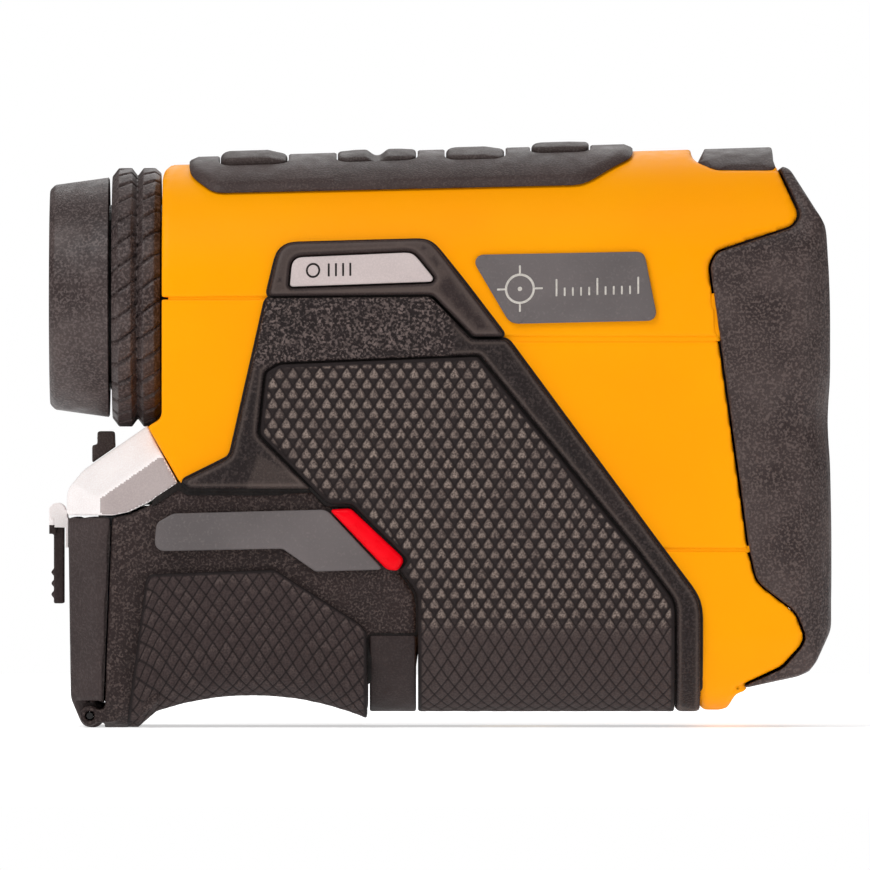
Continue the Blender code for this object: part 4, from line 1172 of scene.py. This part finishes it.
def rocker_crown(x, v, gap):
    """A shallow valley across the rocker between its two thumb ridges."""
    off = np.abs(x - middle("rocker_button").x)
    return -0.9 * (1 - eased(off, 0.2, 1.9)) - 0.15 * eased(off, 3.0, 5.5), {}


KEYS = (
    ("menu_button", 1.9, key_crown("menu_button", 0.75, 0.5)),
    ("rocker_button", 1.5, rocker_crown),
    ("back_button", 1.45, key_crown("back_button", 0.5, 0.35)),
    ("fire_button", 1.8, key_crown("fire_button", 0.15, 0.3)),
)


def keypad():
    """Black strip along the crown, with a chamfered edge, and its four keys."""
    panel("keypad_strip", outer_loops("keypad_bezel", CROWN, 1.15, 0.3), CROWN, "strip", 1.15, 0.8,
          (1.3, 0.55), (0.8, 0.8), nodes=("keypad_bezel",), chamfer=True, sharp=25)
    for node, lift, relief in KEYS:
        loops = [grown(loop, 0.1) for loop in outer_loops(node, CROWN, lift, 0.35)]
        panel(f"{node}_cap", loops, CROWN, "key", lift, 2.6, (0.7, 0.5), (0.4, 0.4), relief, spacing=0.3,
              nodes=(node,))
    loops = [grown(loop, 0.3) for loop in outer_loops("antenna_cover", CROWN, 0.0, 0.35)]
    panel("antenna_lid", loops, CROWN, "strip", 0.02, 1.6, (0.4, 0.25), (0.8, 0.8), nodes=("antenna_cover",),
          soften=0.15)
    repaint("board", "keypad_board", "antenna_board")


# ---------------------------------------------------------------- optics

def eyepiece():
    """Eyecup, diopter ring with its slanted grooves, tube, and the lens in its cell."""
    low, high = span("eyecup")
    radius = high.z - AXIS.z
    cup = [(high.x, radius, 0.25), (low.x + 0.8, radius - 1.2, 0.5), (low.x, radius - 2.0, 0.6),
           (low.x, radius - 4.3, 0.8), (low.x + 2.5, radius - 5.7, 0.5), (low.x + 2.5, radius - 3.9, 0),
           (high.x, radius - 3.9, 0)]
    turned("eyecup_rubber", even_loop(np.array(rounded(cup)), 1.2), AXIS, "ring", ("eyecup",), steps=192)
    low, high = span("diopter_ring")
    radius = high.z - AXIS.z
    crease = (low.x + high.x) / 2 + 0.15
    bands = [(low.x, radius - 5.3, 0), (low.x, radius - 1.3, 0.3), (low.x + 1.0, radius, 0.4),
             (crease - 0.9, radius, 0.3), (crease, radius - 1.2, 0.15), (crease + 0.9, radius, 0.3),
             (high.x - 0.9, radius, 0.4), (high.x, radius - 0.8, 0.3), (high.x, radius - 5.3, 0)]
    turned("diopter_grip", even_loop(np.array(rounded(bands, 20)), 0.3), AXIS, "ring", ("diopter_ring",),
           steps=576, relief=ring_grooves, sharp=60)
    repaint("dark_metal", "eyepiece_tube")
    low, high = span("ocular_cell")
    radius = high.z - AXIS.z
    cell = [(low.x, radius, 0.3), (high.x, radius, 0.2), (high.x, radius - 2.5, 0),
            (low.x + 4.8, radius - 2.5, 0), (low.x + 4.8, radius - 1.5, 0), (low.x + 1.0, radius - 1.5, 0),
            (low.x, radius - 2.3, 0.2)]
    turned("ocular_barrel", rounded(cell), AXIS, "dark_metal", ("ocular_cell",))
    lens("eye_lens", AXIS, 0.9, "coated_ruby")


def lens(node, centre, bulge, look):
    """A lens whose faces bulge from its rim."""
    low, high = span(node)
    radius = high.z - centre.z
    steps = 14
    shares = [k / steps for k in range(steps + 1)]
    front = [(high.x - bulge * s * s, radius * s) for s in shares]
    back = [(low.x + bulge * s * s, radius * s) for s in reversed(shares)]
    turned(f"{node}_glass", front + back, centre, look, (node,), steps=96, sharp=30)


def front_optics():
    """Two barrels with chamfered mouths and coated lenses."""
    for kind, centre, look in (("objective", AXIS, "coated_ruby"), ("laser", LASER, "coated_blue")):
        low, high = span(f"{kind}_cell")
        radius = high.z - centre.z
        barrel = [(high.x, radius, 0.3), (low.x, radius, 0), (low.x, radius - 1.9, 0),
                  (high.x - 1.1, radius - 1.9, 0), (high.x, radius - 3.2, 0.2)]
        turned(f"{kind}_barrel", rounded(barrel), centre, "dark_metal", (f"{kind}_cell",), steps=160)
        lens(f"{kind}_lens", centre, 1.5, look)


# ---------------------------------------------------------------- underside and inside

BORE = 3.2
THREAD_PITCH = 1.27


def thread(place, radius, turn):
    """A screw thread in the tripod socket's bore."""
    bore = (radius < BORE + 0.4) & (radius > BORE - 0.2)
    return bore * 0.18 * np.sin(place * math.tau / THREAD_PITCH + turn)


def lobed_drive(place, radius, turn):
    """The six-lobed recess in a case screw's head."""
    return np.where((radius < 0.95) & (place < 4.0), 0.12 * np.cos(6 * turn), 0)


def underside():
    """Tripod socket with its thread, and the two case screws."""
    centre = middle("tripod_insert")
    low, high = span("tripod_insert")
    radius = high.x - centre.x
    socket = [(low.z, radius, 0.2), (low.z + 1.2, radius, 0.1), (low.z + 1.2, 5.0, 0), (high.z, 5.0, 0),
              (high.z, 0, 0), (high.z - 1.5, 0, 0), (high.z - 1.5, BORE, 0), (low.z + 0.5, BORE, 0),
              (low.z, BORE + 0.6, 0.1)]
    turned("tripod_socket", even_loop(np.array(rounded(socket)), 0.25), centre, "brass", ("tripod_insert",),
           along="Z", steps=96, relief=thread)
    for word, _ in SIDES:
        node = f"case_screw_{word}"
        centre = middle(node)
        low, high = span(node)
        radius = high.x - centre.x
        screw = [(low.z + 0.6, 0, 0), (low.z + 0.6, 0.8, 0), (low.z, 0.9, 0), (low.z, radius, 0.25),
                 (low.z + 1.4, radius, 0.1), (low.z + 1.4, 0.85, 0), (high.z, 0.85, 0), (high.z, 0, 0)]
        turned(f"{node}_head", rounded(screw), centre, "steel", (node,), along="Z", steps=36,
               relief=lobed_drive)


def inside():
    """What lies within: seen through the glass, through seams, and with the battery door open."""
    for word, _ in SIDES:
        node = f"battery_{word}"
        centre = middle(node)
        low, high = span(node)
        radius = high.x - centre.x
        cell = [(low.z, 0, 0), (low.z, radius - 0.4, 0.2), (low.z + 0.4, radius, 0.15),
                (high.z - 1.5, radius, 0.2), (high.z - 0.9, radius - 0.6, 0.15), (high.z - 0.9, 2.9, 0),
                (high.z, 2.9, 0.2), (high.z, 0, 0)]
        turned(f"{node}_cell", rounded(cell), centre, "cell", (node,), along="Z", steps=96)
    repaint("board", "contact_board", "main_board", "compass_module", "receiver_module", "reticle_display")
    repaint("clear", "roof_prism")
    repaint("brass", "laser_module")
    repaint("dark_metal", "optical_bench")


# ---------------------------------------------------------------- stage

def stage():
    """A pale floor and soft light from above and in front; the long lens on the object's right side is set
    up in camera().
    """
    floor_mesh = bpy.data.meshes.new("floor")
    size = 0.8
    corners = [(-size, -size, 0), (size, -size, 0), (size, size, 0), (-size, size, 0)]
    floor_mesh.from_pydata(corners, [], [(0, 1, 2, 3)])
    floor = bpy.data.objects.new("floor", floor_mesh)
    bpy.context.scene.collection.objects.link(floor)
    paper = Recipe("floor_paper", 0.9, Specular_IOR_Level=0.1)
    paper.colour(paper.mixed(paper.noise(90, 2), (0.86, 0.86, 0.87), (0.9, 0.9, 0.9)))
    paper.shader.inputs["Emission Color"].default_value = (1, 1, 1, 1)
    paper.shader.inputs["Emission Strength"].default_value = 0.55
    floor.data.materials.append(paper.material)
    world = bpy.data.worlds.new("studio")
    world.use_nodes = True
    bpy.context.scene.world = world
    tree = world.node_tree
    ambient = tree.nodes["Background"]
    ambient.inputs["Color"].default_value = (1, 1, 1, 1)
    ambient.inputs["Strength"].default_value = 0.26
    backdrop = tree.nodes.new("ShaderNodeBackground")
    backdrop.inputs["Color"].default_value = (1, 1, 1, 1)
    seen = tree.nodes.new("ShaderNodeLightPath")
    blend = tree.nodes.new("ShaderNodeMixShader")
    tree.links.new(seen.outputs["Is Camera Ray"], blend.inputs[0])
    tree.links.new(ambient.outputs[0], blend.inputs[1])
    tree.links.new(backdrop.outputs[0], blend.inputs[2])
    tree.links.new(blend.outputs[0], tree.nodes["World Output"].inputs["Surface"])
    soft_light("key", (-0.40, -0.50, 0.75), 0.6, 5.4)
    soft_light("fill", (0.70, -0.75, 0.20), 0.6, 1.6)
    soft_light("rim", (0.1, 0.6, 0.6), 0.7, 3.0)


def soft_light(name, place, size, power):
    """A square soft box that faces the object."""
    data = bpy.data.lights.new(name, "AREA")
    data.size = size
    data.energy = power
    light = bpy.data.objects.new(name, data)
    light.location = place
    light.rotation_euler = (Vector((0, 0, 0.045)) - light.location).to_track_quat("-Z", "Y").to_euler()
    bpy.context.scene.collection.objects.link(light)


VIEW_WIDTH = 133.1
VIEW_CENTRE = (-0.69, 44.8)
LENS = 1000.0
SENSOR = 36.0


def camera():
    data = bpy.data.cameras.new("camera")
    data.lens = LENS
    data.sensor_width = SENSOR
    data.clip_end = 20
    viewer = bpy.data.objects.new("camera", data)
    away = HALF + VIEW_WIDTH * LENS / SENSOR
    viewer.location = (VIEW_CENTRE[0] * MM, -away * MM, VIEW_CENTRE[1] * MM)
    viewer.rotation_euler = (math.radians(90), 0, 0)
    bpy.context.scene.collection.objects.link(viewer)
    bpy.context.scene.camera = viewer
    bpy.context.scene.view_settings.view_transform = "Standard"


shells()
skins()
liners()
corner_films()
marks()
grips()
nose()
rear_end()
keypad()
eyepiece()
front_optics()
underside()
inside()
stage()
camera()
